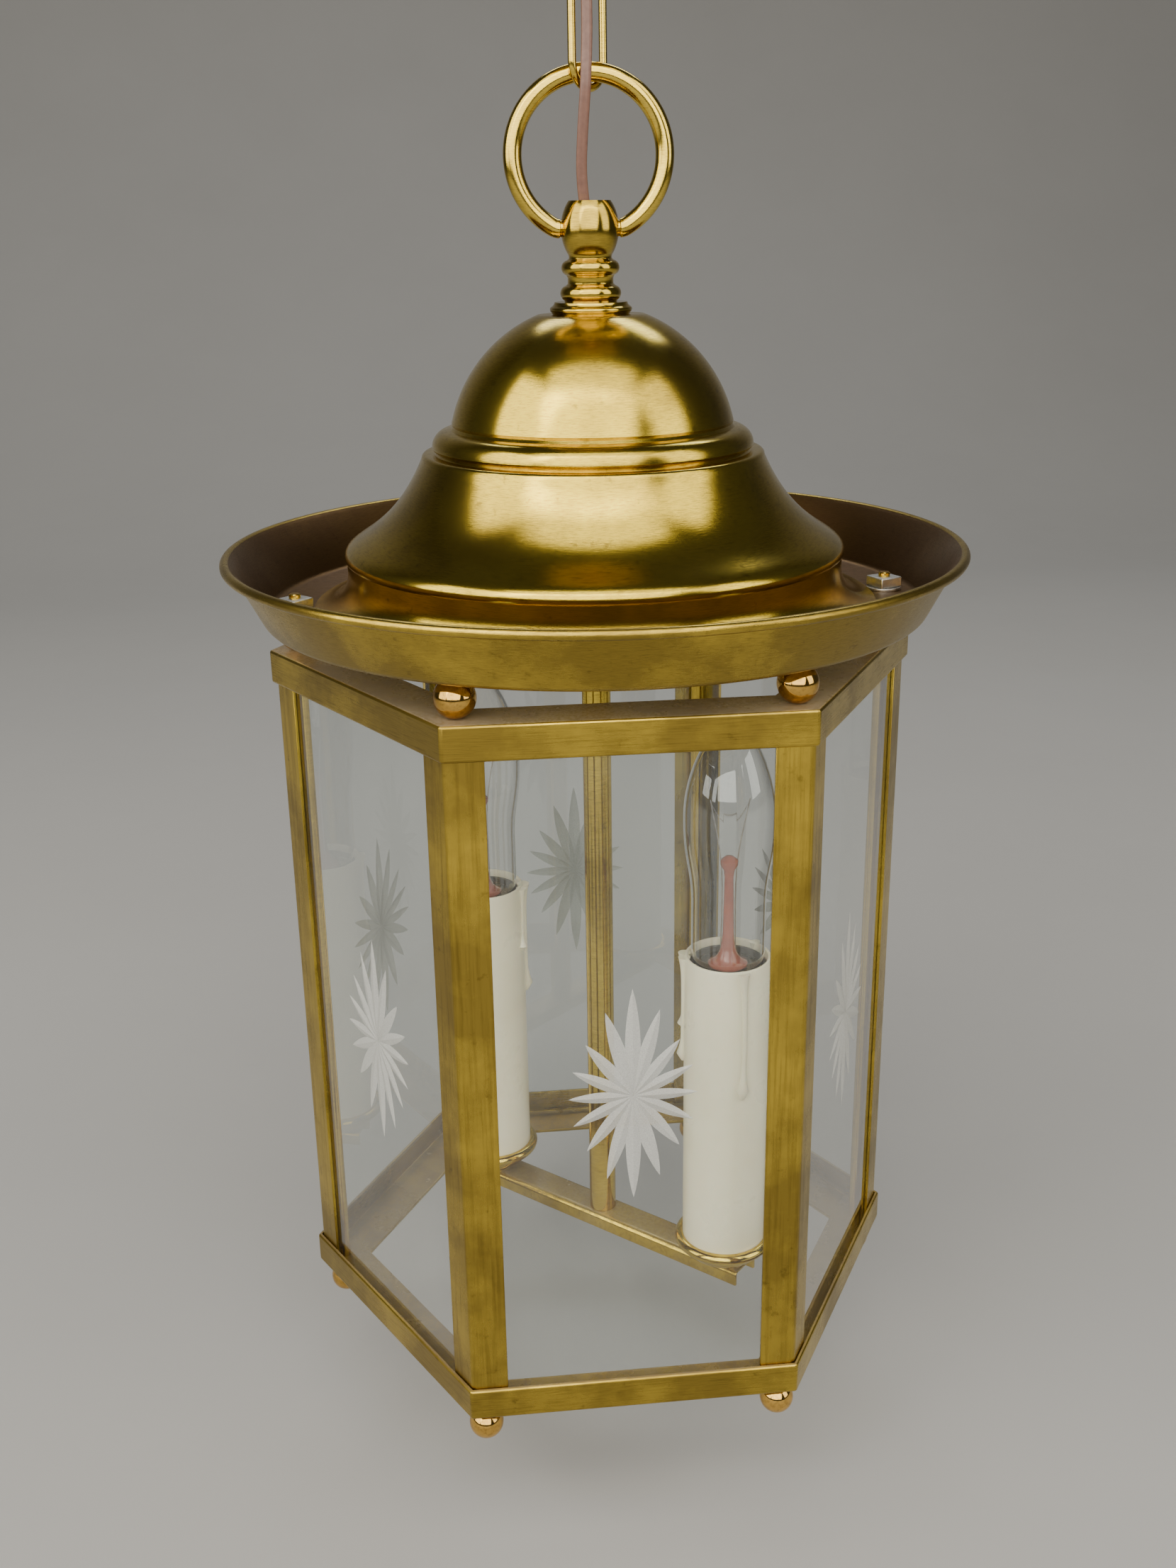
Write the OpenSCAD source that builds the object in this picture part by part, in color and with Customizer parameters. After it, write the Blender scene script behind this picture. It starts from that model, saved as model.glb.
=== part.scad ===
// Hanging hexagonal hall lantern with two candle lights.
// Millimetres. +Z is up. The origin is where the lantern meets the ceiling,
// on the axis of the hanging, and everything hangs below it.

/* [Hexagonal frame] */
// Distance across the flats of the frame
across_flats = 210; // [190:1:260]
// Height of the body, from under the bottom frame to the top of the top frame
body_h = 266.7; // [235:0.1:340]
// Height of the upright leg of the frame angle
leg_h = 12.4; // [9:0.1:18]
// Width of the flat leg of the frame angle
flange_w = 18.5; // [14:0.5:24]
// Thickness of the frame angle
frame_t = 1.5; // [1:0.1:2.5]
// Radius of the soldered outer corners of the frames
frame_corner_r = 1.6; // [0.5:0.1:3]

/* [Posts and glass] */
// Width of each leaf of a corner post
post_leg = 12.8; // [9:0.1:18]
// Thickness of the post strip
post_t = 1.2; // [0.8:0.1:2]
// Outer radius of the fold in a post
post_fold_r = 3; // [2.2:0.1:5]
// Thickness of the window glass
glass_t = 3; // [2:0.1:4]
// How far a pane stops short of the corner
pane_corner_gap = 4.8; // [4:0.1:8]
// Play between the post, the pane and the frame
slip = 0.15; // [0.05:0.05:0.4]

/* [Tie rods and balls] */
// Radius of a tie rod
rod_r = 2.2; // [1.5:0.1:3]
// Distance of a rod from the two faces of its corner
rod_inset = 9.4; // [8.5:0.1:12]
// Radial clearance of a rod in its holes
rod_play = 0.1; // [0.05:0.05:0.3]
// Radius of a ball spacer
ball_r = 7; // [5:0.1:9]
// Flat cut from each end of a ball spacer
ball_flat = 0.4; // [0.4:0.1:1]
// Radius of a ball foot
foot_r = 6.4; // [5:0.1:9]
// Thickness of the collar above a ball foot
collar_t = 2.8; // [1:0.1:5]
// Radius of the collar above a ball foot
collar_r = 4.6; // [3.5:0.1:7]
// Radius of a washer in the saucer
washer_r = 6.5; // [4:0.1:9]
// Thickness of a washer
washer_t = 1; // [0.5:0.1:2]
// Width across the flats of a square nut
nut_w = 9.5; // [7:0.1:13]
// Thickness of a square nut
nut_h = 3.8; // [2:0.1:6]

/* [Saucer and dome] */
// How far the saucer's floor reaches past the middles of the rods
saucer_edge = 10.8; // [9:0.1:30]
// How far the centre of the rolled rim stands out past the floor
rim_flare = 12.5; // [8:0.1:40]
// Height of the centre of the rolled rim above the underside
saucer_h = 21.3; // [14:0.1:32]
// Radius of the rolled rim
rim_bead_r = 1.8; // [1.4:0.1:3.5]
// Radius of the bend between the saucer's floor and wall
saucer_bend_r = 4; // [3:0.1:10]
// Thickness of the spun sheet
sheet_t = 1.2; // [0.8:0.1:1.6]
// Gap between the dome's foot and the washers on the rods
dome_gap = 0.4; // [0.3:0.1:10]
// Radius of the cove under the step
cove_r = 13; // [10:0.1:15]
// Height of the step edge above the saucer floor
step_h = 20.8; // [19.5:0.1:24]
// Radius of the lower body's top edge
body_ring_r = 62; // [58:0.1:66]
// Height of the lower body's top edge above the saucer floor
body_ring_h = 55.4; // [48:0.1:62]
// Radius of the bead between the lower body and the cap
dome_bead_r = 57.9; // [56:0.1:59]
// Radius of the ball that the cap is part of
cap_r = 51.9; // [49:0.1:53]
// Height of the centre of that ball above the saucer floor
cap_centre_h = 54; // [52:0.1:57]
// Height of the dome's flat top above the saucer floor
dome_h = 102.3; // [95:0.1:104]

/* [Finial and ring] */
// Radius of the check ring under the finial
check_r = 14.5; // [12:0.1:18]
// Height of the check ring
check_h = 4.2; // [2:0.1:7]
// Radius of the finial's ball
finial_ball_r = 10.1; // [9.6:0.1:12]
// Height of the ring's pivot above the check ring
pivot_h = 24.3; // [23.5:0.1:30]
// Radius of the way for the cord through the ball
wireway_r = 4.2; // [3:0.1:4.6]
// Radius of the hanging ring, to the middle of its wire
ring_r = 26.2; // [22:0.1:34]
// Radius of the ring's wire
ring_wire_r = 3.2; // [2.4:0.1:4]
// Inside bend where the ring turns into its pins
ring_bend_r = 5; // [4.5:0.1:7]
// Radius of the pins turned on the ring's ends
pin_r = 2.8; // [2:0.1:3]
// Radial clearance of the ring's pins in the ball
pin_play = 0.05; // [0.02:0.01:0.1]

/* [Chain] */
// Height of a chain link, between the middles of its end wires
link_h = 38.15; // [24:0.05:50]
// Width of a chain link, between the middles of its side wires
link_w = 16.6; // [15:0.1:24]
// Radius of the chain wire
link_wire_r = 1.4; // [1:0.1:1.8]
// Gap left between two links that hang in each other
hang_gap = 0.2; // [0.1:0.05:0.5]
// Gap left between the lower link and the ring
ring_gap = 0.5; // [0.4:0.05:1]
// Angle of the lower link from the ring
link_turn = 45; // [30:1:60]

/* [Ceiling fitting] */
// Radius of the ceiling canopy
canopy_r = 62; // [54:0.5:75]
// Depth of the ceiling canopy
canopy_h = 22; // [16:0.5:30]
// Radius of the loop's hub
hub_r = 8; // [6.5:0.1:11]
// Height of the loop's hub
hub_h = 12; // [9:0.1:16]
// Radius of the loop, to the middle of its wire
loop_r = 8; // [7:0.1:11]
// Radius of the loop's wire
loop_wire_r = 2; // [1.5:0.1:2.5]
// Length of the mounting strap
strap_l = 104; // [100:0.5:106]
// Width of the mounting strap
strap_w = 16; // [13:0.5:22]
// Thickness of the mounting strap
strap_t = 2; // [1.5:0.1:3]
// Distance between the two screw holes of the strap
strap_pitch = 88.9; // [70:0.1:92]
// Radius of a screw hole of the strap
strap_hole_r = 2.4; // [2:0.1:3]

/* [Stem and crossbar] */
// Outer radius of the threaded pipe
pipe_r = 4.8; // [4.5:0.1:5]
// Bore radius of the threaded pipe
pipe_bore_r = 3.4; // [2.5:0.1:3.6]
// Outer radius of the tube that covers the pipe
stem_r = 5.5; // [5.3:0.1:7]
// Radial clearance of the pipe in what it passes through
pipe_play = 0.1; // [0.05:0.05:0.2]
// Height of the crossbar's top above the underside of the bottom frame
bar_z = 16.5; // [12:0.1:40]
// Width of the crossbar
bar_w = 15.2; // [14:0.1:20]
// Depth of the crossbar
bar_h = 6.4; // [5:0.1:9]
// Length of the crossbar
bar_l = 142; // [130:1:160]
// Thickness of the crossbar
bar_t = 1.2; // [0.8:0.1:1.6]
// Direction of the crossbar, turned from +X towards -Y
bar_turn = 42.5; // [0:0.5:60]
// Height of the nuts on the pipe and the nipples
lock_nut_h = 2.6; // [1.5:0.1:3]
// Width across the flats of those nuts
lock_nut_w = 11.6; // [11:0.1:11.8]

/* [Candles and bulbs] */
// Distance of a candle from the axis
candle_x = 60.4; // [50:0.1:64]
// Height of the cup under a candle, up to its seat
cup_h = 11.3; // [8:0.1:14]
// How far the lip of a cup stands out past the sleeve
lip_stand = 3.1; // [2.8:0.1:7]
// Outer radius of a candle sleeve
sleeve_r = 16.5; // [16.2:0.1:17]
// Wall of a candle sleeve
sleeve_t = 1.5; // [1:0.1:1.7]
// Gap between a bulb's tip and the underside of the saucer
tip_gap = 34.9; // [10:0.1:60]
// Outer radius of the lamp socket
socket_r = 14.4; // [14.3:0.1:14.4]
// Bore radius of the lamp socket
socket_bore_r = 13.4; // [13.3:0.1:13.5]
// How far the socket's mouth is below the sleeve's mouth
socket_drop = 2.6; // [1:0.1:6]
// Depth of the socket's bore
socket_depth = 27; // [26:0.1:32]
// Radius of the bulb's base
base_r = 13.1; // [12.9:0.05:13.2]
// Length of the bulb's base
base_l = 24; // [20:0.1:25]
// Radius of the bulb's neck
neck_r = 14; // [13.5:0.1:14.4]
// Largest radius of the bulb
bulb_r = 17.2; // [16:0.1:19]
// Length of the bulb's glass
bulb_l = 98; // [88:0.5:110]
// Thickness of the bulb's glass
bulb_t = 0.8; // [0.5:0.1:1]

/* [Cord] */
// Width of the flat cord
cord_w = 3.8; // [3:0.1:5]
// Thickness of the flat cord
cord_t = 2.1; // [1.6:0.1:2.6]
// Radius of a lead under the crossbar
lead_r = 1.1; // [0.6:0.1:1.4]

/* [Hidden] */
$fn = 96;
CORNERS = 6;
apothem = across_flats / 2;
flat_play = 0.25;
// The cord's route, from inside the ceiling nipple down to inside the finial's ball
CORD_ROUTE = [
    [0, 0, -27], [0, 0, -33], [0, -1.2, -37], [0, -3.6, -41], [0, -5.8, -46], [0, -6.6, -52],
    [-0.2, -6.6, -58], [-0.4, -6.4, -65], [-0.6, -6.4, -74], [-0.8, -6.6, -83], [-0.8, -6.5, -91],
    [-0.8, -6.5, -100], [-1, -6.6, -107], [-1.3, -6.9, -113], [-1.6, -6.8, -119], [-2.1, -6, -126],
    [-2.6, -4.8, -134], [-2.9, -3.4, -142], [-2.6, -2, -149], [-1.9, -1, -155], [-1.5, -0.5, -160],
    [-1.2, -0.3, -166]
];
// Where the cord is divided, as places along its route: once in each hanging piece
CORD_STATIONS = [0, 7, 11, 16, 21];
// A lead's route along the crossbar, in a frame on the pipe's foot
LEAD_ROUTE = [[2, 0, 4], [2.5, 0, -1], [6, 0, -3], [11, 0, -2], [20, 0, 1], [40, 0, 1], [50, 0, -2],
    [54.5, 0, -3], [58, 0, -1], [58.5, 0, 4]];

// Heights down the hanging, from the ceiling
hub_foot_z = -(canopy_h + hub_h);
loop_z = hub_foot_z - loop_r + loop_wire_r / 2;
upper_link_top_z = loop_z - loop_r + loop_wire_r + link_wire_r + hang_gap;
upper_link_foot_z = upper_link_top_z - link_h;
lower_link_top_z = upper_link_foot_z + 2 * link_wire_r + hang_gap;
lower_link_foot_z = lower_link_top_z - link_h;
ring_z = lower_link_foot_z + link_wire_r + ring_wire_r + ring_gap - ring_r;
pin_out_x = finial_ball_r + 0.2;
pin_in_x = wireway_r + 0.6;
ring_end_a = asin(pin_out_x / (ring_r - ring_bend_r));
ring_drop = ring_r * cos(ring_end_a) + ring_bend_r * (1 - cos(ring_end_a));
pivot_z = ring_z - ring_drop;
check_top_z = pivot_z - pivot_h;
dome_top_z = check_top_z - check_h;
saucer_top_z = dome_top_z - dome_h;
saucer_z = saucer_top_z - sheet_t;
top_frame_z = saucer_z - 2 * (ball_r - ball_flat);
base_z = top_frame_z - body_h;

// Radii and heights in the body
post_apex_r = (apothem - frame_t - slip) / cos(30);
pane_out_a = apothem - frame_t - post_t - 2 * slip;
pane_w = 2 * (pane_out_a * tan(30) - pane_corner_gap);
rod_radius_at = (apothem - rod_inset) / cos(30);
rod_hole_r = rod_r + rod_play;
saucer_floor_r = rod_radius_at + saucer_edge;
saucer_rim_r = saucer_floor_r + rim_flare;
dome_foot_r = rod_radius_at - washer_r - dome_gap;
rod_top_z = saucer_top_z + washer_t + nut_h + 1.6;
foot_z = base_z - collar_t - foot_r + 0.6;
bar_top_z = base_z + bar_z;
cup_seat_z = bar_top_z + cup_h;
sleeve_top_z = saucer_z - tip_gap - bulb_l - base_l - 1.2 + socket_depth + socket_drop;
sleeve_l = sleeve_top_z - cup_seat_z;
cup_lip_r = sleeve_r + lip_stand;
socket_top_z = sleeve_top_z - socket_drop;
base_foot_z = socket_top_z - socket_depth + 1.2;
glass_foot_z = base_foot_z + base_l;
pipe_hole_r = pipe_r + pipe_play;
pipe_top_z = check_top_z + 7.5;
pipe_foot_z = bar_top_z - bar_t - lock_nut_h - 1.2;

// ---- Shapes that repeat ----

// Points along an arc about a centre, from one angle to another
function arc(c, r, from, to, steps = 8) =
    [for (i = [0:steps]) let (a = from + (to - from) * i / steps) [c[0] + r * cos(a), c[1] + r * sin(a)]];

// Points along a cubic curve with two handles
function curve(p, a, b, q, steps = 12) =
    [for (i = [0:steps]) let (t = i / steps, s = 1 - t)
        s * s * s * p + 3 * s * s * t * a + 3 * s * t * t * b + t * t * t * q];

// A path set off to its left by a distance, for the other face of a sheet
function beside(path, d) =
    [for (i = [0:len(path) - 1])
        let (
            a = path[max(i - 1, 0)],
            b = path[min(i + 1, len(path) - 1)],
            t = (b - a) / norm(b - a)
        )
        path[i] + d * [-t[1], t[0]]];

function backwards(path) = [for (i = [len(path) - 1:-1:0]) path[i]];

// A hexagon with rounded corners, with its first corner on +X
function hexagon(flat_a, r) =
    [for (k = [0:CORNERS - 1], p = arc([(flat_a - r) / cos(30) * cos(60 * k), (flat_a - r) / cos(30) * sin(60 * k)],
        r, 60 * k - 30, 60 * k + 30, 4)) p];

// A rod swept along a route or a stretch of it, with a flat oval section
module swept(route, width, thick, sides = 8, from = 0, to = -1) {
    end = len(route) - 1;
    stop = to < 0 ? end : to;
    last = stop - from;
    rings = [for (i = [from:stop])
        let (
            a = route[max(i - 1, 0)],
            b = route[min(i + 1, end)],
            along = (b - a) / norm(b - a),
            flat = cross(along, [0, 1, 0]),
            side = flat / norm(flat),
            up = cross(side, along)
        )
        [for (k = [0:sides - 1])
            route[i] + side * width / 2 * cos(360 * k / sides) + up * thick / 2 * sin(360 * k / sides)]];
    points = [for (ring = rings, p = ring) p];
    faces = concat(
        [[for (k = [0:sides - 1]) k]],
        [for (i = [0:last - 1], k = [0:sides - 1])
            [i * sides + k, (i + 1) * sides + k, (i + 1) * sides + (k + 1) % sides, i * sides + (k + 1) % sides]],
        [[for (k = [sides - 1:-1:0]) last * sides + k]]
    );
    polyhedron(points, faces, convexity = 4);
}

// Its children at each corner's tie rod
module at_rods(z) {
    for (k = [0:CORNERS - 1])
        rotate([0, 0, 60 * k])
            translate([rod_radius_at, 0, z])
                children();
}

// Its children on the axis of one candle
module at_candle(side, z) {
    rotate([0, 0, -bar_turn])
        translate([side * candle_x, 0, z])
            children();
}

// A hexagonal nut with a round hole, standing on z = 0
module hex_nut(width, height, hole_r) {
    difference() {
        cylinder(r = width / 2 / cos(30), h = height, $fn = 6);
        translate([0, 0, -1])
            cylinder(r = hole_r, h = height + 2);
    }
}

// A tube standing on z = 0
module tube(r, bore_r, height) {
    difference() {
        cylinder(r = r, h = height);
        translate([0, 0, -1])
            cylinder(r = bore_r, h = height + 2);
    }
}

// A chain link in the plane of X and Z, hanging from z = 0
module link() {
    end_r = link_w / 2;
    for (s = [0, 1])
        translate([0, 0, s == 0 ? -end_r : end_r - link_h])
            rotate([90, 0, 0])
                rotate([0, 0, 180 * s])
                    rotate_extrude(angle = 180)
                        translate([end_r, 0])
                            circle(r = link_wire_r, $fn = 32);
    for (s = [-1, 1])
        translate([s * end_r, 0, end_r - link_h])
            cylinder(r = link_wire_r, h = link_h - link_w, $fn = 32);
}

// ---- Ceiling fitting ----

module mounting_strap() {
    color("#8f8f8c")
        difference() {
            translate([-strap_l / 2, -strap_w / 2, -strap_t])
                cube([strap_l, strap_w, strap_t]);
            for (x = [-strap_pitch / 2, 0, strap_pitch / 2])
                translate([x, 0, -strap_t - 1])
                    cylinder(r = x == 0 ? pipe_hole_r : strap_hole_r, h = strap_t + 2);
        }
}

module ceiling_nipple() {
    color("#b7a15e")
        translate([0, 0, -canopy_h - hub_h + 3])
            tube(pipe_r, pipe_bore_r, canopy_h + hub_h - 3 - strap_t + 1.5);
}

module strap_nut() {
    color("#9c9a92")
        translate([0, 0, -strap_t - lock_nut_h])
            hex_nut(lock_nut_w, lock_nut_h, pipe_hole_r);
}

module ceiling_canopy() {
    neck = hub_r + 3;
    outer = concat(
        [[canopy_r, 0], [canopy_r, -1.6]],
        curve([canopy_r - 1, -2.4], [canopy_r - 6, -6], [neck + 26, 1 - canopy_h], [neck, -canopy_h], 14),
        [[pipe_hole_r, -canopy_h]]
    );
    color("#b08d3f")
        rotate_extrude()
            polygon(concat(
                outer,
                [[pipe_hole_r, sheet_t - canopy_h]],
                backwards(curve([canopy_r - 2.4, -2.4], [canopy_r - 7, -5.2], [neck + 24, 1 + sheet_t - canopy_h],
                    [neck, sheet_t - canopy_h], 14)),
                [[canopy_r - sheet_t, -1.6], [canopy_r - sheet_t, 0]]
            ));
}

module canopy_loop() {
    color("#b08d3f") {
        translate([0, 0, hub_foot_z])
            difference() {
                union() {
                    cylinder(r = hub_r - 1.5, h = hub_h);
                    translate([0, 0, 3])
                        cylinder(r = hub_r, h = hub_h - 3);
                }
                translate([0, 0, -6])
                    cylinder(r = pipe_bore_r, h = hub_h);
                translate([0, 0, 3])
                    cylinder(r = pipe_hole_r, h = hub_h);
            }
        difference() {
            translate([0, 0, loop_z])
                rotate([0, 0, link_turn])
                    rotate([90, 0, 0])
                        rotate_extrude()
                            translate([loop_r, 0])
                                circle(r = loop_wire_r, $fn = 32);
            translate([0, 0, hub_foot_z - 4])
                cylinder(r = pipe_bore_r, h = 8);
        }
    }
}

module lamp_cord(k) {
    color("#7a5240")
        swept(CORD_ROUTE, cord_w, cord_t, 8, CORD_STATIONS[k - 1], CORD_STATIONS[k]);
}

// ---- Chain and ring ----

module chain_link_upper() {
    color("#c9a24a")
        translate([0, 0, upper_link_top_z])
            rotate([0, 0, link_turn + 90])
                link();
}

module chain_link_lower() {
    color("#c9a24a")
        translate([0, 0, lower_link_top_z])
            rotate([0, 0, link_turn])
                link();
}

module hanging_ring() {
    bend_x = pin_out_x;
    bend_z = -(ring_drop - ring_bend_r);
    color("#d1a74c")
        translate([0, 0, ring_z]) {
            rotate([90, 0, 0]) {
                rotate([0, 0, ring_end_a - 90])
                    rotate_extrude(angle = 360 - 2 * ring_end_a)
                        translate([ring_r, 0])
                            circle(r = ring_wire_r, $fn = 48);
                for (s = [0, 1])
                    mirror([s, 0, 0])
                        translate([bend_x, bend_z, 0])
                            rotate([0, 0, -90])
                                rotate_extrude(angle = ring_end_a)
                                    translate([ring_bend_r, 0])
                                        circle(r = ring_wire_r - 0.15, $fn = 48);
            }
            for (s = [-1, 1])
                translate([s * (pin_in_x + pin_out_x + 0.6) / 2, 0, -ring_drop])
                    rotate([0, 90, 0])
                        cylinder(r = pin_r, h = pin_out_x - pin_in_x + 0.6, center = true, $fn = 48);
        }
}

// ---- Finial, dome and saucer ----

module ball_finial() {
    tall = 1.307;
    flat_a = acos((wireway_r + 3.1) / finial_ball_r);
    neck_a = -acos(7.6 / finial_ball_r);
    stem = concat(
        [[0, 0], [9.2, 0]],
        arc([8, 2.9], 2.7, -62, 75, 8),
        [[8.3, 5.9], [8, 6.4], [8, 8.1], [8.3, 8.6]],
        arc([7.6, 11.4], 2.6, -70, 75, 8),
        [[7.7, 14.3], [7.5, 14.9]]
    );
    ball = [for (p = arc([0, 0], finial_ball_r, neck_a, flat_a, 20)) [p[0], pivot_h + tall * p[1]]];
    color("#b9964a")
        translate([0, 0, check_top_z])
            difference() {
                rotate_extrude()
                    polygon(concat(stem, ball, [[0, pivot_h + tall * finial_ball_r * sin(flat_a)]]));
                translate([0, 0, -1])
                    cylinder(r = pipe_hole_r, h = 9);
                translate([0, 0, 7])
                    cylinder(r = pipe_bore_r, h = 12);
                translate([0, 0, 17])
                    cylinder(r = wireway_r, h = pivot_h);
                translate([0, 0, pivot_h])
                    rotate([0, 90, 0])
                        cylinder(r = pin_r + pin_play, h = 3 * finial_ball_r, center = true);
            }
}

module check_ring() {
    color("#b08d3f")
        translate([0, 0, dome_top_z])
            rotate_extrude()
                polygon(concat(
                    [[pipe_hole_r, 0], [check_r - 1, 0]],
                    arc([check_r - 1, check_h / 2], 1, -60, 60, 6),
                    [[check_r - 1.6, check_h], [pipe_hole_r, check_h]]
                ));
}

module dome_cover() {
    step_r = dome_foot_r - cove_r + 0.7;
    cove_c = [dome_foot_r, cove_r + sheet_t];
    ring_edge = [body_ring_r, body_ring_h - 2];
    cap_c = [0, cap_centre_h];
    cap_from = asin((body_ring_h + 11.4 - cap_centre_h) / cap_r);
    cap_to = asin((dome_h - cap_centre_h) / cap_r);
    flare_out = [[step_r - 1, step_h + 5.7], ring_edge + [12, -26.4]];
    flare_in = [flare_out[0] - [1.7, 1.6], flare_out[1] - [1.5, 0.6]];
    outer = concat(
        [[dome_foot_r, 0], [dome_foot_r, sheet_t]],
        arc(cove_c, cove_r, 270, 180, 10),
        [[step_r - 0.7, step_h - 2.4], [step_r, step_h - 1.8]],
        curve([step_r, step_h], flare_out[0], flare_out[1], ring_edge, 18),
        [[body_ring_r - 0.5, body_ring_h - 0.6], [body_ring_r - 1.7, body_ring_h]],
        [[dome_bead_r - 0.8, body_ring_h], [dome_bead_r - 1.3, body_ring_h + 0.6]],
        [[dome_bead_r - 0.6, body_ring_h + 1.2]],
        arc([dome_bead_r - 6, body_ring_h + 2.1], 6, 0, 72, 6),
        [[cap_r - 0.7, body_ring_h + 8.4], [cap_r - 1.6, body_ring_h + 9.4], [cap_r - 1.3, body_ring_h + 10.4]],
        arc(cap_c, cap_r, cap_from, cap_to, 20)
    );
    color("#b8964a")
        translate([0, 0, saucer_top_z])
            rotate_extrude()
                polygon(concat(
                    outer,
                    [[pipe_hole_r, dome_h], [pipe_hole_r, dome_h - sheet_t]],
                    backwards(arc(cap_c, cap_r - sheet_t, cap_from + 2, cap_to - 0.6, 20)),
                    [[cap_r - 3.4, body_ring_h + 8.4], [cap_r - 3, body_ring_h + 7], [dome_bead_r - 5, body_ring_h + 6]],
                    [[dome_bead_r - 2.8, body_ring_h + 3], [dome_bead_r - 2.8, body_ring_h - sheet_t]],
                    backwards(curve([step_r - 1.9, step_h - 0.8], flare_in[0], flare_in[1], ring_edge - [1.4, 0.6], 18)),
                    backwards(arc(cove_c, cove_r + sheet_t, 270, 180, 10))
                ));
}

module saucer() {
    wall_a = atan2(saucer_h, saucer_rim_r - 1.6 - saucer_floor_r);
    bend_c = [saucer_floor_r - saucer_bend_r * tan(wall_a / 2), saucer_bend_r];
    wall_top = [saucer_rim_r - 1.6, saucer_h];
    inward = sheet_t * [-sin(wall_a), cos(wall_a)];
    color("#a68643")
        translate([0, 0, saucer_z])
            difference() {
                rotate_extrude($fn = 144)
                    union() {
                        polygon(concat(
                            [[pipe_hole_r, 0]],
                            arc(bend_c, saucer_bend_r, -90, wall_a - 90, 8),
                            [wall_top, wall_top + inward],
                            arc(bend_c, saucer_bend_r - sheet_t, wall_a - 90, -90, 8),
                            [[pipe_hole_r, sheet_t]]
                        ));
                        translate([saucer_rim_r, saucer_h])
                            circle(r = rim_bead_r, $fn = 32);
                    }
                at_rods(-1)
                    cylinder(r = rod_hole_r, h = sheet_t + 2, $fn = 32);
            }
}

// ---- Fastenings of the body ----

module square_nuts() {
    color("#8d8d88")
        for (k = [0:CORNERS - 1])
            rotate([0, 0, 60 * k])
                translate([rod_radius_at, 0, saucer_top_z + washer_t])
                    rotate([0, 0, 23 + 37 * k])
                        difference() {
                            translate([-nut_w / 2, -nut_w / 2, 0])
                                cube([nut_w, nut_w, nut_h]);
                            translate([0, 0, -1])
                                cylinder(r = rod_hole_r, h = nut_h + 2, $fn = 32);
                        }
}

module rod_washers() {
    color("#9a9a94")
        at_rods(saucer_top_z)
            tube(washer_r, rod_hole_r, washer_t, $fn = 48);
}

module ball_spacers() {
    half = ball_r - ball_flat;
    color("#d79a4a")
        at_rods(top_frame_z)
            difference() {
                intersection() {
                    translate([0, 0, half])
                        sphere(r = ball_r, $fn = 48);
                    cylinder(r = ball_r + 1, h = 2 * half);
                }
                translate([0, 0, -1])
                    cylinder(r = rod_hole_r, h = 2 * half + 2, $fn = 32);
            }
}

module tie_rods() {
    color("#b98f3e")
        at_rods(foot_z - 1.5)
            cylinder(r = rod_r, h = rod_top_z - foot_z + 1.5, $fn = 32);
}

module foot_collars() {
    color("#b08d3f")
        at_rods(base_z - collar_t)
            tube(collar_r, rod_hole_r, collar_t, $fn = 48);
}

module ball_feet() {
    color("#d79a4a")
        at_rods(foot_z)
            difference() {
                intersection() {
                    sphere(r = foot_r, $fn = 48);
                    translate([0, 0, -foot_r])
                        cylinder(r = foot_r + 1, h = 2 * foot_r - 0.6);
                }
                translate([0, 0, -1.6])
                    cylinder(r = rod_hole_r, h = 2 * foot_r, $fn = 32);
            }
}

// ---- Frames, posts and glass ----

// A hexagonal ring of angle: its flat leg on z = 0 and its upright leg above it
module angle_ring() {
    difference() {
        linear_extrude(leg_h)
            polygon(hexagon(apothem, frame_corner_r));
        translate([0, 0, frame_t])
            linear_extrude(leg_h)
                polygon(hexagon(apothem - frame_t, 0.3));
        translate([0, 0, -1])
            linear_extrude(leg_h)
                polygon(hexagon(apothem - flange_w, 2));
        at_rods(-1)
            cylinder(r = rod_hole_r, h = frame_t + 2, $fn = 32);
    }
}

module top_frame() {
    color("#a8873f")
        translate([0, 0, top_frame_z])
            mirror([0, 0, 1])
                angle_ring();
}

module bottom_frame() {
    color("#a8873f")
        translate([0, 0, base_z])
            angle_ring();
}

module corner_post(k) {
    fold_c = [-post_fold_r / cos(30), 0];
    leaf = post_leg * [-cos(60), sin(60)];
    inward = post_t * [-cos(30), -sin(30)];
    color("#b9964a")
        rotate([0, 0, 60 * (k - 1)])
            translate([post_apex_r, 0, base_z + frame_t])
                linear_extrude(body_h - 2 * frame_t)
                    polygon(concat(
                        arc(fold_c, post_fold_r, -30, 30, 6),
                        [leaf, leaf + inward],
                        arc(fold_c, post_fold_r - post_t, 30, -30, 6),
                        [[leaf[0] + inward[0], -leaf[1] - inward[1]], [leaf[0], -leaf[1]]]
                    ));
}

module glass_panel(k) {
    color("#cfd8d6", 0.35)
        rotate([0, 0, 60 * (k - 1) + 30])
            translate([pane_out_a - glass_t, -pane_w / 2, base_z + frame_t + slip])
                cube([glass_t, pane_w, body_h - 2 * frame_t - 2 * slip]);
}

// ---- Stem and crossbar ----

module stem_pipe() {
    color("#8c8468")
        translate([0, 0, pipe_foot_z])
            tube(pipe_r, pipe_bore_r, pipe_top_z - pipe_foot_z);
}

module stem_tube() {
    color("#b9964a")
        translate([0, 0, bar_top_z])
            tube(stem_r, pipe_hole_r, saucer_z - bar_top_z);
}

module pipe_nut() {
    color("#9c9a92")
        translate([0, 0, bar_top_z - bar_t - lock_nut_h])
            rotate([0, 0, -bar_turn])
                hex_nut(lock_nut_w, lock_nut_h, pipe_hole_r);
}

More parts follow.
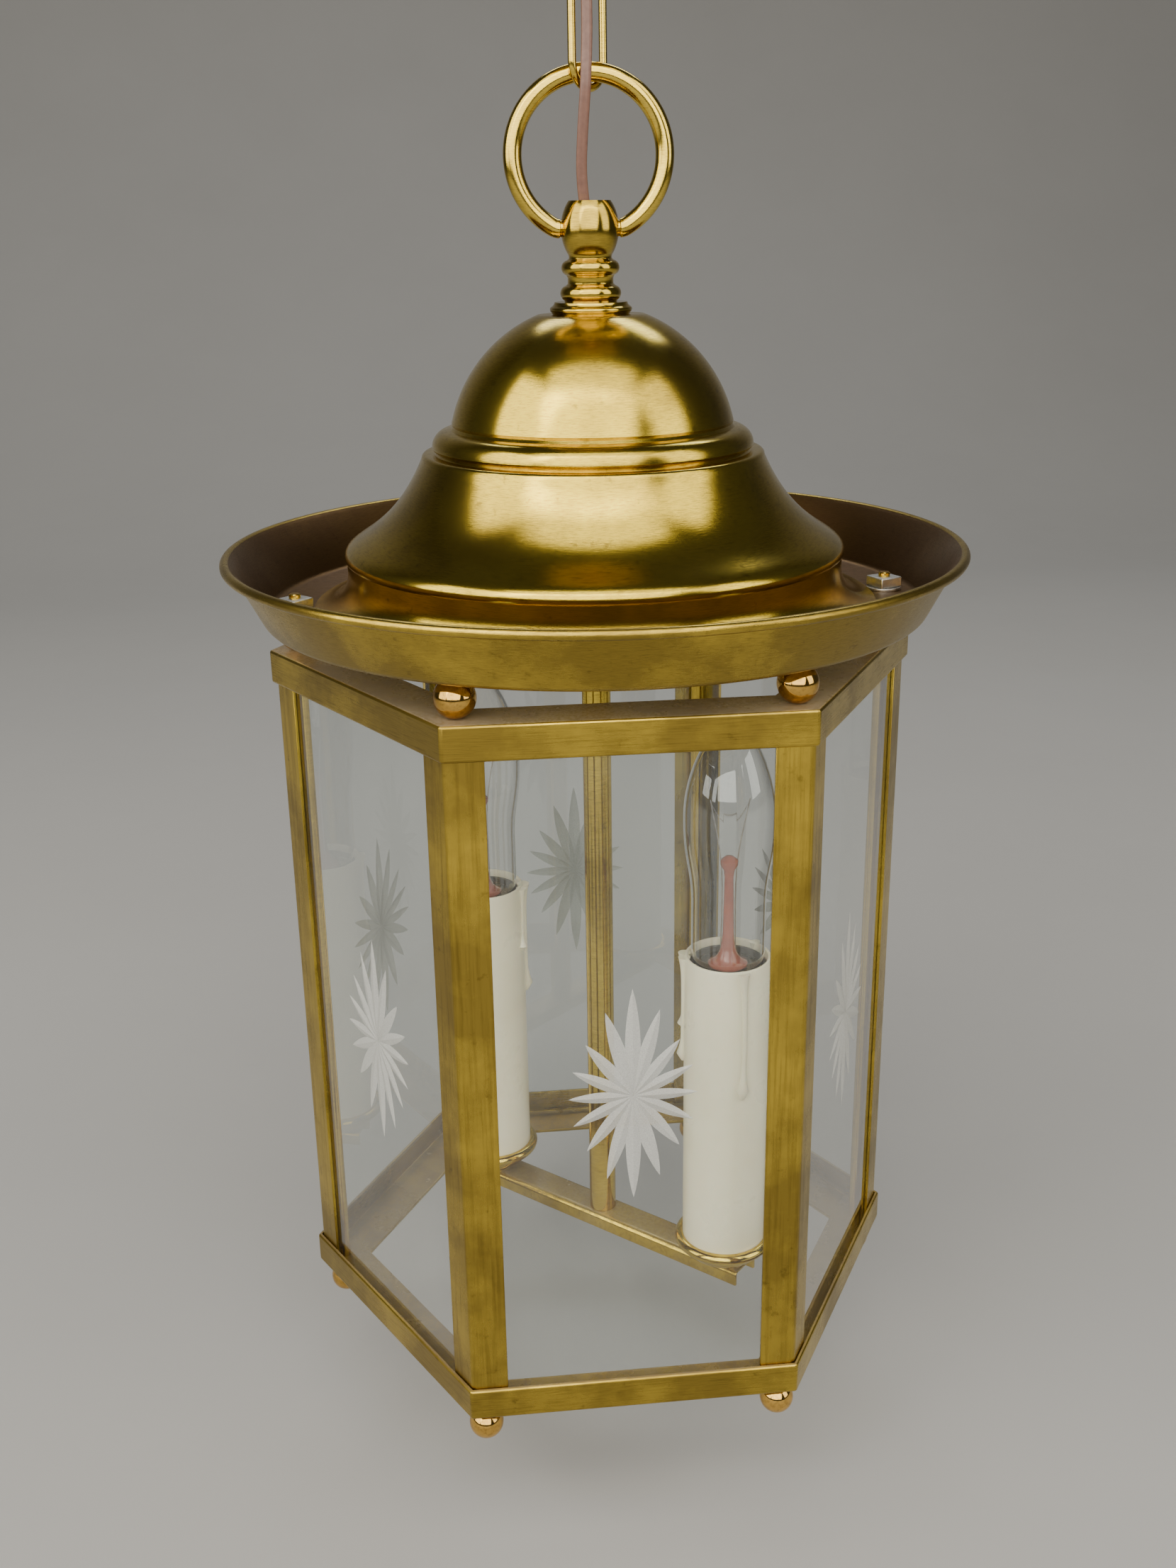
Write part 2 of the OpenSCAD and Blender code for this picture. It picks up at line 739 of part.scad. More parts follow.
module crossbar() {
    edge_r = 2.4;
    inner_r = 0.5;
    half = bar_w / 2;
    inner_x = half - bar_t - inner_r;
    color("#a8873f")
        rotate([0, 0, -bar_turn])
            difference() {
                translate([-bar_l / 2, 0, bar_top_z])
                    rotate([90, 0, 90])
                        linear_extrude(bar_l)
                            polygon(concat(
                                [[half, -bar_h]],
                                arc([half - edge_r, -edge_r], edge_r, 0, 90, 6),
                                arc([edge_r - half, -edge_r], edge_r, 90, 180, 6),
                                [[-half, -bar_h], [bar_t - half, -bar_h]],
                                arc([-inner_x, -bar_t - inner_r], inner_r, 180, 90, 6),
                                arc([inner_x, -bar_t - inner_r], inner_r, 90, 0, 6),
                                [[half - bar_t, -bar_h]]
                            ));
                for (x = [-candle_x, 0, candle_x])
                    translate([x, 0, bar_top_z - bar_t - 1])
                        cylinder(r = pipe_hole_r, h = bar_t + 2);
            }
}

module socket_nipples() {
    foot = bar_t + lock_nut_h + 1.2;
    color("#8c8468")
        for (side = [-1, 1])
            at_candle(side, bar_top_z - foot)
                tube(pipe_r, pipe_bore_r, foot + cup_h + 9);
}

module nipple_nuts() {
    color("#9c9a92")
        for (side = [-1, 1])
            at_candle(side, bar_top_z - bar_t - lock_nut_h)
                hex_nut(lock_nut_w, lock_nut_h, pipe_hole_r);
}

module socket_leads() {
    color("#3a3532")
        for (side = [0, 180])
            translate([0, 0, pipe_foot_z])
                rotate([0, 0, side - bar_turn])
                    swept(LEAD_ROUTE, 2 * lead_r, 2 * lead_r);
}

// ---- Candles and bulbs ----

module candle_cup(side) {
    lip_r = 2.2;
    lip_c = [cup_lip_r - lip_r, cup_h - 1.5];
    color("#b9964a")
        at_candle(side, bar_top_z)
            rotate_extrude()
                polygon(concat(
                    [[pipe_hole_r, 0], [9.5, 0], [9.5, 1.4], [sleeve_r - 3.5, 3.2]],
                    curve([sleeve_r - 1.9, 4], [sleeve_r - 0.9, 4.8], [sleeve_r - 0.5, 5.8], [sleeve_r - 0.3, 7], 4),
                    arc(lip_c, lip_r, -120, 100, 12),
                    [[sleeve_r + 0.2, cup_h + 0.6], [sleeve_r + 0.2, cup_h], [pipe_hole_r, cup_h]]
                ));
}

module candle_sleeve(side) {
    color("#efe6cf")
        at_candle(side, cup_seat_z)
            tube(sleeve_r, sleeve_r - sleeve_t, sleeve_l);
}

module lamp_socket(side) {
    foot_h = 34;
    color("#2f2a26")
        at_candle(side, cup_seat_z)
            difference() {
                union() {
                    cylinder(r = 9, h = foot_h);
                    translate([0, 0, foot_h - 1])
                        cylinder(r = socket_r, h = socket_top_z - cup_seat_z - foot_h + 1);
                }
                translate([0, 0, -1])
                    cylinder(r = pipe_hole_r, h = 10 + slip);
                translate([0, 0, socket_top_z - cup_seat_z - socket_depth])
                    cylinder(r = socket_bore_r, h = socket_depth + 1);
            }
}

module bulb_base(side) {
    color("#c8b172")
        at_candle(side, base_foot_z)
            rotate_extrude()
                polygon([[0, -0.6], [4.4, -0.6], [4.6, 0.6], [8.6, 2.2], [12.2, 4.4], [base_r, 5.4],
                    [base_r, base_l], [base_r - 1, base_l], [base_r - 1, 5.6], [0, 3.2]]);
}

// The outline of the bulb's glass, from its foot up to its tip
function bulb_outline() = concat(
    curve([base_r - 1.2, 0], [base_r - 0.6, 2], [neck_r, 3], [neck_r, 8], 5),
    curve([neck_r, 0.26 * bulb_l], [neck_r, 0.4 * bulb_l], [bulb_r, 0.44 * bulb_l], [bulb_r, 0.6 * bulb_l], 12),
    curve([bulb_r, 0.62 * bulb_l], [bulb_r, 0.78 * bulb_l], [9, 0.95 * bulb_l], [2, 0.995 * bulb_l], 16)
);

module bulb_glass(side) {
    outer = bulb_outline();
    inner = beside(outer, bulb_t);
    color("#e8eef0", 0.35)
        at_candle(side, glass_foot_z)
            rotate_extrude()
                polygon(concat(outer, [[0, bulb_l], [0, bulb_l - bulb_t]], backwards(inner)));
}

module bulb_mount(side) {
    color("#d9cfc8")
        at_candle(side, glass_foot_z) {
            rotate_extrude($fn = 48)
                polygon(concat(
                    [[0, -1], [7.5, -1], [7.5, 0]],
                    curve([6.5, 1], [3, 3], [2.4, 5], [2.2, 8], 6),
                    [[1.8, 38], [3.4, 41], [3.4, 43], [1.4, 44.6], [0, 44.8]]
                ));
            for (s = [-1, 1])
                translate([s * 2.6, 0, 43])
                    rotate([0, s * 12, 0])
                        cylinder(r = 0.4, h = 24, $fn = 16);
        }
}

mounting_strap();
ceiling_nipple();
strap_nut();
ceiling_canopy();
canopy_loop();
for (k = [1:4]) {
    lamp_cord(k);
}
chain_link_upper();
chain_link_lower();
hanging_ring();
ball_finial();
check_ring();
dome_cover();
saucer();
square_nuts();
rod_washers();
ball_spacers();
top_frame();
for (k = [1:CORNERS]) {
    corner_post(k);
    glass_panel(k);
}
tie_rods();
bottom_frame();
foot_collars();
ball_feet();
stem_pipe();
stem_tube();
pipe_nut();
crossbar();
socket_nipples();
nipple_nuts();
socket_leads();
for (side = [["right", 1], ["left", -1]]) {
    candle_cup(side[1]);
    candle_sleeve(side[1]);
    lamp_socket(side[1]);
    bulb_base(side[1]);
    bulb_glass(side[1]);
    bulb_mount(side[1]);
}
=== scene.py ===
"""A hexagonal brass hall lantern with two candle lights, on a chain and a ceiling canopy.

Metres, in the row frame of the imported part: +Z up, the ceiling at z = 0, a window facing -Y.
"""

import logging
import math
from dataclasses import dataclass
from enum import Enum

import bpy
from mathutils import Matrix, Vector

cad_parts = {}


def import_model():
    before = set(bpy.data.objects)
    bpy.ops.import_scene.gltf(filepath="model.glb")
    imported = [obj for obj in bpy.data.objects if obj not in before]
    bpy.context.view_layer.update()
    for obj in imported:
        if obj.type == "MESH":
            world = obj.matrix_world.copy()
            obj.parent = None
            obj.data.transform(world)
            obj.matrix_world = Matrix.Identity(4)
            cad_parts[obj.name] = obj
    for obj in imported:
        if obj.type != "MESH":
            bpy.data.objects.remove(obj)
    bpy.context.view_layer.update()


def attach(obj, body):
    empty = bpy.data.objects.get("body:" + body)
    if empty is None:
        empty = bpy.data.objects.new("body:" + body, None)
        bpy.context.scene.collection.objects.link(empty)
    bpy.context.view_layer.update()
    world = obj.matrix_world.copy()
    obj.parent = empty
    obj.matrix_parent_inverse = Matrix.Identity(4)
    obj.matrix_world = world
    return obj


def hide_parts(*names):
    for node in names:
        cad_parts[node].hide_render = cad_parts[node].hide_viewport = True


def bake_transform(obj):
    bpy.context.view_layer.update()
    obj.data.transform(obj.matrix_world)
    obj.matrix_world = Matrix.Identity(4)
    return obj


LOG = logging.getLogger("lantern")
Point = tuple[float, float, float]
Pair = tuple[float, float]
Colour = tuple[float, float, float]
Socket = bpy.types.NodeSocket
Obj = bpy.types.Object

WELD = 2e-6  # vertices closer than this are one
SHEET = 0.0012  # the spun sheet, the post's leaf and the channel's wall
PIPE_BORE = 0.0049  # what passes over the threaded pipe
ROD_BORE = 0.0023  # what passes over a tie rod
ROD_AT = 0.11039  # the tie rods' circle
WASHER_H = 0.001
NUT_H = 0.0038
FLATS = 0.210
TOP_Z = -0.30853  # the top frame's upper face
FOOT_Z = -0.57523  # the bottom frame's lower face
DOME_Z = -0.29413  # the saucer's floor, where the dome stands
BAR_Z = -0.55873  # the crossbar's top
BAR_TURN = -42.5
CANDLE_AT = 0.0604  # from the lantern's axis to a candle's
HEX_K = 1 / math.cos(math.radians(30))  # a hexagon's corner over its half width
HEX_NUT_R = 0.0067
HEX_NUT_H = 0.0026


class Body(Enum):
    """The rigid bodies of the hanging, from the ceiling down."""

    CEILING = "ceiling"
    UPPER_LINK = "upper_link"
    LOWER_LINK = "lower_link"
    RING = "ring"
    LANTERN = "lantern"
    BULB_RIGHT = "bulb_right"
    BULB_LEFT = "bulb_left"


class Streak(Enum):
    """Which way the brushed lines of a metal run."""

    UP = (40.0, 40.0, 1.6)
    ALONG = (6.0, 6.0, 160.0)
    ROUND = (22.0, 22.0, 300.0)
    NONE = (40.0, 40.0, 40.0)


# ---------------------------------------------------------------- materials


class NodePen:
    """Writes the nodes of one material, one call per node."""

    def __init__(self, name: str) -> None:
        """Starts a material with an empty tree.

        Args:
            name: The material's name.
        """
        self.material = bpy.data.materials.new(self.label(name))
        self.material.use_nodes = True
        self.tree = self.material.node_tree
        self.tree.nodes.clear()

    @staticmethod
    def label(name: str) -> str:
        """Gives the name that a finish's material goes by."""
        return "look_" + name

    def add(self, kind: str, **values: object) -> bpy.types.Node:
        """Adds a node and sets its properties and its sockets.

        Args:
            kind: The node's type, without its "ShaderNode" prefix.
            values: Property names, or socket names with "_" for a space, and their values.

        Returns:
            The new node.
        """
        node = self.tree.nodes.new("ShaderNode" + kind)
        for key, value in values.items():
            socket = node.inputs.get(key.replace("_", " "))
            if socket is not None:
                socket.default_value = value
            else:
                setattr(node, key, value)
        return node

    def join(self, out: Socket, into: Socket) -> None:
        """Links one socket to another."""
        self.tree.links.new(out, into)

    def place(self, scale: Point) -> Socket:
        """Gives the piece's own coordinates, stretched.

        Args:
            scale: How many times each axis is packed closer.

        Returns:
            The vector socket.
        """
        coord = self.add("TexCoord")
        mapping = self.add("Mapping")
        mapping.inputs["Scale"].default_value = scale
        self.join(coord.outputs["Object"], mapping.inputs["Vector"])
        return mapping.outputs["Vector"]

    def noise(
        self, scale: float, detail: float = 4.0, rough: float = 0.6, stretch: Point = (1, 1, 1)
    ) -> Socket:
        """Gives a noise from 0 to 1.

        Args:
            scale: Features per metre.
            detail: How many finer layers it has.
            rough: How strong the finer layers are.
            stretch: How many times each axis is packed closer.

        Returns:
            The value socket.
        """
        node = self.add("TexNoise", Scale=scale, Detail=detail, Roughness=rough)
        self.join(self.place(stretch), node.inputs["Vector"])
        return node.outputs["Fac"]

    def ramp(self, value: Socket, low: float, high: float, start: float, end: float) -> Socket:
        """Maps a stretch of a value onto another, with its ends held.

        Args:
            value: The socket to map.
            low: Where the stretch begins.
            high: Where it ends.
            start: What low becomes.
            end: What high becomes.

        Returns:
            The mapped socket.
        """
        node = self.add("MapRange", clamp=True)
        for key, number in (("From Min", low), ("From Max", high), ("To Min", start), ("To Max", end)):
            node.inputs[key].default_value = number
        self.join(value, node.inputs["Value"])
        return node.outputs["Result"]

    def blend(
        self, share: Socket, first: object, second: object, how: str = "MIX"
    ) -> Socket:
        """Mixes two colours.

        Args:
            share: How much of the second.
            first: A colour or a socket.
            second: A colour or a socket.
            how: The blend type.

        Returns:
            The mixed colour's socket.
        """
        node = self.add("Mix", data_type="RGBA", blend_type=how)
        self.join(share, node.inputs[0])
        for value, socket in ((first, node.inputs[6]), (second, node.inputs[7])):
            if isinstance(value, Socket):
                self.join(value, socket)
            else:
                socket.default_value = (*value, 1.0)
        return node.outputs[2]

    def bump(self, height: Socket, strength: float, depth: float) -> Socket:
        """Turns a height into a normal.

        Args:
            height: The height, 0 to 1.
            strength: How much of it shows.
            depth: How deep it is, in metres.

        Returns:
            The normal socket.
        """
        node = self.add("Bump", Strength=strength, Distance=depth)
        self.join(height, node.inputs["Height"])
        return node.outputs["Normal"]

    def finish(self, shader: bpy.types.Node) -> bpy.types.Material:
        """Puts a shader on the surface and gives the material.

        Args:
            shader: The node whose first output is the surface.

        Returns:
            The finished material.
        """
        output = self.add("OutputMaterial")
        self.join(shader.outputs[0], output.inputs["Surface"])
        return self.material


@dataclass(frozen=True)
class Brass:
    """Old brass: a gold ground, olive patina in clouds, dark spots and brushed lines."""

    name: str
    gold: Colour = (0.60, 0.425, 0.06)
    olive: Colour = (0.31, 0.215, 0.038)
    dark: Colour = (0.10, 0.062, 0.013)
    patina: float = 0.55
    smooth: float = 0.22
    rough: float = 0.42
    streak: Streak = Streak.ROUND
    relief: float = 0.14
    dust: float = 0.0
    dust_tone: Colour = (0.33, 0.27, 0.20)

    def build(self) -> bpy.types.Material:
        """Makes the material.

        Returns:
            The brass, with its patina, spots, brushed lines and dust.
        """
        pen = NodePen(self.name)
        clouds = pen.noise(21.0, 6.0, 0.62)
        lines = pen.noise(14.0, 5.0, 0.7, self.streak.value)
        spots = pen.noise(210.0, 3.0, 0.6)
        share = pen.ramp(clouds, 0.62 - self.patina * 0.42, 0.80 - self.patina * 0.36, 0.0, 1.0)
        colour = pen.blend(share, self.gold, self.olive)
        colour = pen.blend(pen.ramp(lines, 0.46, 0.72, 0.0, 0.55), colour, self.dark)
        colour = pen.blend(pen.ramp(spots, 0.64, 0.76, 0.0, 0.5), colour, self.dark)
        shader = pen.add("BsdfPrincipled")
        rough = pen.add("Math", operation="MULTIPLY_ADD")
        pen.join(lines, rough.inputs[0])
        rough.inputs[1].default_value = 0.16
        pen.join(pen.ramp(clouds, 0.3, 0.7, self.smooth - 0.05, self.rough - 0.1), rough.inputs[2])
        pen.join(rough.outputs[0], shader.inputs["Roughness"])
        if self.dust:
            normal = pen.add("NewGeometry")
            split = pen.add("SeparateXYZ")
            pen.join(normal.outputs["Normal"], split.inputs[0])
            facing = pen.ramp(split.outputs["Z"], 0.75, 0.98, 0.0, self.dust)
            grain = pen.noise(900.0, 3.0, 0.7)
            amount = pen.add("Math", operation="MULTIPLY")
            pen.join(facing, amount.inputs[0])
            pen.join(pen.ramp(grain, 0.25, 0.6, 0.55, 1.0), amount.inputs[1])
            colour = pen.blend(amount.outputs[0], colour, self.dust_tone)
            pen.join(pen.ramp(amount.outputs[0], 0.0, 1.0, 1.0, 0.0), shader.inputs["Metallic"])
        else:
            shader.inputs["Metallic"].default_value = 1.0
        pen.join(colour, shader.inputs["Base Color"])
        pen.join(pen.bump(lines, self.relief, 0.0003), shader.inputs["Normal"])
        return pen.finish(shader)


@dataclass(frozen=True)
class Steel:
    """Dull zinc-plated steel with grey blotches."""

    name: str
    colour: Colour = (0.50, 0.50, 0.48)
    shade: Colour = (0.26, 0.25, 0.23)

    def build(self) -> bpy.types.Material:
        """Makes the material.

        Returns:
            The steel.
        """
        pen = NodePen(self.name)
        shader = pen.add("BsdfPrincipled", Metallic=1.0)
        blotch = pen.noise(320.0, 4.0, 0.6)
        pen.join(pen.blend(pen.ramp(blotch, 0.4, 0.7, 0.0, 0.8), self.colour, self.shade), shader.inputs["Base Color"])
        pen.join(pen.ramp(blotch, 0.3, 0.7, 0.32, 0.55), shader.inputs["Roughness"])
        pen.join(pen.bump(blotch, 0.15, 0.0003), shader.inputs["Normal"])
        return pen.finish(shader)


@dataclass(frozen=True)
class Clear:
    """Clear glass that lets lamp light through, with a little dust on it, and painted shade towards its outline where
    edge is set.
    """

    name: str
    index: float = 1.45
    dust: float = 0.015
    tint: Colour = (0.97, 0.985, 0.98)
    gloss: float = 0.015
    mirror: float = 1.8
    # How dark the painted shade at the glass's outline gets, 0 for none.
    edge: float = 0.0

    def build(self) -> bpy.types.Material:
        """Makes the material.

        Returns:
            The glass: clear, with gloss by angle, a film of dust and painted shade at its outline where edge is set.
        """
        pen = NodePen(self.name)
        through = pen.add("BsdfTransparent", Color=(*self.tint, 1.0))
        # Painted shade: the see-through colour darkens to near black towards the outline, standing in for the dark rims
        # that refraction gives.
        if self.edge:
            facing = pen.add("LayerWeight", Blend=0.5)
            rim = pen.ramp(facing.outputs["Facing"], 0.38, 0.95, 0.0, self.edge)
            pen.join(pen.blend(rim, self.tint, (0.06, 0.06, 0.055)), through.inputs["Color"])
        gloss = pen.add("BsdfGlossy", Color=(1, 1, 1, 1), Roughness=self.gloss)
        edge = pen.add("Fresnel", IOR=self.index)
        back = pen.add("NewGeometry")
        front = pen.ramp(back.outputs["Backfacing"], 0.0, 1.0, self.mirror, 0.0)
        share = pen.add("Math", operation="MULTIPLY", use_clamp=True)
        pen.join(edge.outputs[0], share.inputs[0])
        pen.join(front, share.inputs[1])
        pane = pen.add("MixShader")
        pen.join(share.outputs[0], pane.inputs[0])
        pen.join(through.outputs[0], pane.inputs[1])
        pen.join(gloss.outputs[0], pane.inputs[2])
        film = pen.add("BsdfDiffuse", Color=(0.62, 0.62, 0.58, 1.0))
        smear = pen.ramp(pen.noise(38.0, 7.0, 0.72, (1.0, 1.0, 0.5)), 0.45, 0.85, self.dust * 0.25, self.dust * 2.2)
        both = pen.add("MixShader")
        pen.join(smear, both.inputs[0])
        pen.join(pane.outputs[0], both.inputs[1])
        pen.join(film.outputs[0], both.inputs[2])
        return pen.finish(both)


@dataclass(frozen=True)
class Frost:
    """The ground surface of a cut star."""

    name: str
    light: Colour = (0.50, 0.50, 0.47)
    shade: Colour = (0.34, 0.34, 0.32)

    def build(self) -> bpy.types.Material:
        """Makes the material.

        Returns:
            The frosted glass.
        """
        pen = NodePen(self.name)
        grain = pen.noise(2600.0, 3.0, 0.7)
        shader = pen.add("BsdfPrincipled", Roughness=0.62)
        pen.join(pen.blend(grain, self.shade, self.light), shader.inputs["Base Color"])
        pen.join(pen.bump(grain, 0.3, 0.0001), shader.inputs["Normal"])
        through = pen.add("BsdfTransparent", Color=(0.95, 0.97, 0.96, 1.0))
        mix = pen.add("MixShader")
        pen.join(pen.ramp(grain, 0.25, 0.75, 0.66, 0.86), mix.inputs[0])
        pen.join(through.outputs[0], mix.inputs[1])
        pen.join(shader.outputs[0], mix.inputs[2])
        return pen.finish(mix)


@dataclass(frozen=True)
class Coating:
    """A plain moulded or coated surface: ivory sleeve, dark socket, cord or floor."""

    name: str
    colour: Colour
    shade: Colour
    rough: float = 0.35
    grain: float = 120.0
    relief: float = 0.0002
    coat: float = 0.0
    glow: float = 0.0

    def build(self) -> bpy.types.Material:
        """Makes the material.

        Returns:
            The coating, with a faint mottle and a little relief.
        """
        pen = NodePen(self.name)
        mottle = pen.noise(self.grain, 5.0, 0.6)
        shader = pen.add("BsdfPrincipled")
        shader.inputs["Coat Weight"].default_value = self.coat
        shader.inputs["Coat Roughness"].default_value = 0.12
        shader.inputs["Subsurface Weight"].default_value = self.glow
        shader.inputs["Subsurface Scale"].default_value = 0.004
        pen.join(pen.blend(pen.ramp(mottle, 0.3, 0.75, 0.0, 1.0), self.colour, self.shade), shader.inputs["Base Color"])
        pen.join(pen.ramp(mottle, 0.3, 0.7, self.rough - 0.06, self.rough + 0.08), shader.inputs["Roughness"])
        pen.join(pen.bump(mottle, 0.2, self.relief), shader.inputs["Normal"])
        return pen.finish(shader)


class Finish(Enum):
    """Every finish on the lantern."""

    FRAME = Brass("frame_brass", streak=Streak.ALONG, patina=0.6, dust=0.8, smooth=0.17, rough=0.38)
    BASE = Brass(
        "base_brass", streak=Streak.ALONG, patina=0.6, dust=0.75, dust_tone=(0.13, 0.09, 0.065), smooth=0.17, rough=0.38
    )
    POST = Brass("post_brass", streak=Streak.UP, patina=0.6, smooth=0.17, rough=0.38)
    SPUN = Brass(
        "spun_brass",
        gold=(0.60, 0.43, 0.05),
        olive=(0.36, 0.25, 0.035),
        patina=0.4,
        relief=0.08,
        smooth=0.11,
        rough=0.22,
    )
    SAUCER = Brass("saucer_brass", patina=0.75, smooth=0.18, rough=0.38)
    # Painted shade: a much darker copy of the saucer brass, for the saucer's inside.
    SAUCER_PAINTED_SHADE = Brass(
        "saucer_inside_painted_shade",
        gold=(0.17, 0.095, 0.03),
        olive=(0.115, 0.062, 0.022),
        dark=(0.05, 0.026, 0.01),
        smooth=0.26,
        rough=0.46,
    )
    TURNED = Brass("turned_brass", gold=(0.60, 0.42, 0.055), patina=0.4, relief=0.05, smooth=0.08, rough=0.18)
    BRIGHT = Brass(
        "bright_brass",
        gold=(0.72, 0.52, 0.085),
        olive=(0.5, 0.35, 0.05),
        patina=0.4,
        relief=0.05,
        smooth=0.07,
        rough=0.18,
    )
    COPPER = Brass(
        "copper_brass",
        gold=(0.74, 0.45, 0.11),
        olive=(0.52, 0.3, 0.06),
        patina=0.36,
        streak=Streak.NONE,
        relief=0.02,
        smooth=0.05,
        rough=0.12,
    )
    BAR = Brass(
        "bar_brass",
        streak=Streak.NONE,
        patina=0.45,
        dust=0.7,
        dust_tone=(0.16, 0.12, 0.085),
        smooth=0.14,
        rough=0.3,
    )
    PIPE = Brass("pipe_brass", gold=(0.4, 0.32, 0.16), olive=(0.26, 0.2, 0.1), streak=Streak.ROUND, patina=0.5)
    ZINC = Steel("zinc")
    PANE = Clear("pane_glass")
    # The bulb glass carries painted shade at its outline (edge).
    BULB = Clear("bulb_glass", index=1.55, dust=0.01, tint=(0.985, 0.985, 0.98), mirror=2.4, edge=0.85)
    STAR = Frost("cut_frost")
    IVORY = Coating("ivory", (0.86, 0.79, 0.60), (0.81, 0.73, 0.53), 0.3, 60.0, 0.0003, coat=0.4, glow=0.1)
    PHENOLIC = Coating("phenolic", (0.05, 0.042, 0.036), (0.028, 0.024, 0.02), 0.5, 300.0)
    CAP = Brass("cap_brass", gold=(0.72, 0.62, 0.40), olive=(0.5, 0.42, 0.25), patina=0.3, smooth=0.2, rough=0.34)
    ROSE_GLASS = Coating("rose_glass", (0.36, 0.09, 0.055), (0.26, 0.06, 0.04), 0.18, 200.0, coat=0.6)
    WIRE = Steel("wire", (0.55, 0.5, 0.45), (0.3, 0.27, 0.24))
    CORD = Coating("cord_brown", (0.17, 0.085, 0.06), (0.115, 0.055, 0.04), 0.4, 420.0, coat=0.15)
    LEAD = Coating("lead_dark", (0.05, 0.045, 0.04), (0.03, 0.027, 0.025), 0.45, 420.0)
    FLOOR = Coating("floor", (0.30, 0.296, 0.288), (0.285, 0.281, 0.273), 0.85, 3.0, 0.0001)

    def material(self) -> bpy.types.Material:
        """Gives the finish's material, made the first time it is asked for.

        Returns:
            The material.
        """
        return bpy.data.materials.get(NodePen.label(self.value.name)) or self.value.build()


# ---------------------------------------------------------------- bench tools


def only(obj: Obj | None) -> None:
    """Selects one object and nothing else.

    Args:
        obj: The object, or None for no object.
    """
    if bpy.context.object is not None and bpy.context.object.mode != "OBJECT":
        bpy.ops.object.mode_set(mode="OBJECT")
    bpy.ops.object.select_all(action="DESELECT")
    if obj is not None:
        obj.select_set(True)
        bpy.context.view_layer.objects.active = obj


def settle(obj: Obj, angle: float = 32.0) -> Obj:
    """Puts an object's place into its mesh and smooths its shading.

    Args:
        obj: The object.
        angle: The sharpest edge that is shaded smooth, in degrees.

    Returns:
        The same object.
    """
    only(obj)
    bpy.ops.object.transform_apply(location=True, rotation=True, scale=True)
    bpy.ops.object.shade_smooth_by_angle(angle=math.radians(angle))
    return obj


def bevelled(obj: Obj, width: float, steps: int = 2, angle: float = 40.0) -> Obj:
    """Rounds an object's edges.

    Args:
        obj: The object.
        width: The width of the round, in metres.
        steps: How many faces it has.
        angle: The bluntest edge that is left alone, in degrees.

    Returns:
        The same object.
    """
    only(obj)
    bevel = obj.modifiers.new("round", "BEVEL")
    bevel.width = width
    bevel.segments = steps
    bevel.limit_method = "ANGLE"
    bevel.angle_limit = math.radians(angle)
    bpy.ops.object.modifier_apply(modifier=bevel.name)
    return obj


def outline(name: str, points: list[Point]) -> Obj:
    """Draws a line by extruding one vertex from point to point, and stays in edit mode.

    Args:
        name: The new object's name.
        points: Where the line goes.

    Returns:
        The object, in edit mode, with its last vertex selected.
    """
    only(None)
    bpy.ops.mesh.primitive_plane_add(size=0.001)
    obj = bpy.context.object
    obj.name = obj.data.name = name
    bpy.ops.object.mode_set(mode="EDIT")
    bpy.ops.mesh.select_all(action="SELECT")
    bpy.ops.mesh.merge(type="CENTER")
    bpy.ops.transform.translate(value=points[0])
    for start, stop in zip(points, points[1:]):
        bpy.ops.mesh.extrude_region_move(TRANSFORM_OT_translate={"value": Vector(stop) - Vector(start)})
    return obj


def tidy_mesh() -> None:
    """Merges doubles and turns the faces outwards, then leaves edit mode."""
    bpy.ops.mesh.select_all(action="SELECT")
    bpy.ops.mesh.remove_doubles(threshold=WELD)
    bpy.ops.mesh.normals_make_consistent(inside=False)
    bpy.ops.object.mode_set(mode="OBJECT")


def lathed(
    name: str, profile: list[Pair], centre: Point = (0, 0, 0), steps: int = 96, turn: float = 0.0, closed: bool = True
) -> Obj:
    """Turns a profile about an upright axis.

    Args:
        name: The new object's name.
        profile: Radius and height of each point.
        centre: The foot of the axis.
        steps: How many faces there are round it.
        turn: Where the first one stands, in degrees from +X.
        closed: Whether the profile's last point joins its first.

    Returns:
        The turned object.
    """
    ring = profile + [profile[0]] if closed else profile
    cx, cy, cz = centre
    away = (math.cos(math.radians(turn)), math.sin(math.radians(turn)))
    obj = outline(name, [(cx + r * away[0], cy + r * away[1], cz + z) for r, z in ring])
    bpy.ops.mesh.select_all(action="SELECT")
    bpy.ops.mesh.spin(steps=steps, angle=math.tau, center=centre, axis=(0, 0, 1))
    tidy_mesh()
    return settle(obj)


def prism(name: str, points: list[Pair], low: float, high: float) -> Obj:
    """Stands a flat shape up.

    Args:
        name: The new object's name.
        points: The shape's corners, in X and Y.
        low: Its underside.
        high: Its top.

    Returns:
        The upright object.
    """
    obj = outline(name, [(x, y, low) for x, y in points + [points[0]]])
    bpy.ops.mesh.select_all(action="SELECT")
    bpy.ops.mesh.remove_doubles(threshold=WELD)
    bpy.ops.mesh.edge_face_add()
    bpy.ops.mesh.extrude_region_move(TRANSFORM_OT_translate={"value": (0, 0, high - low)})
    tidy_mesh()
    return settle(obj)


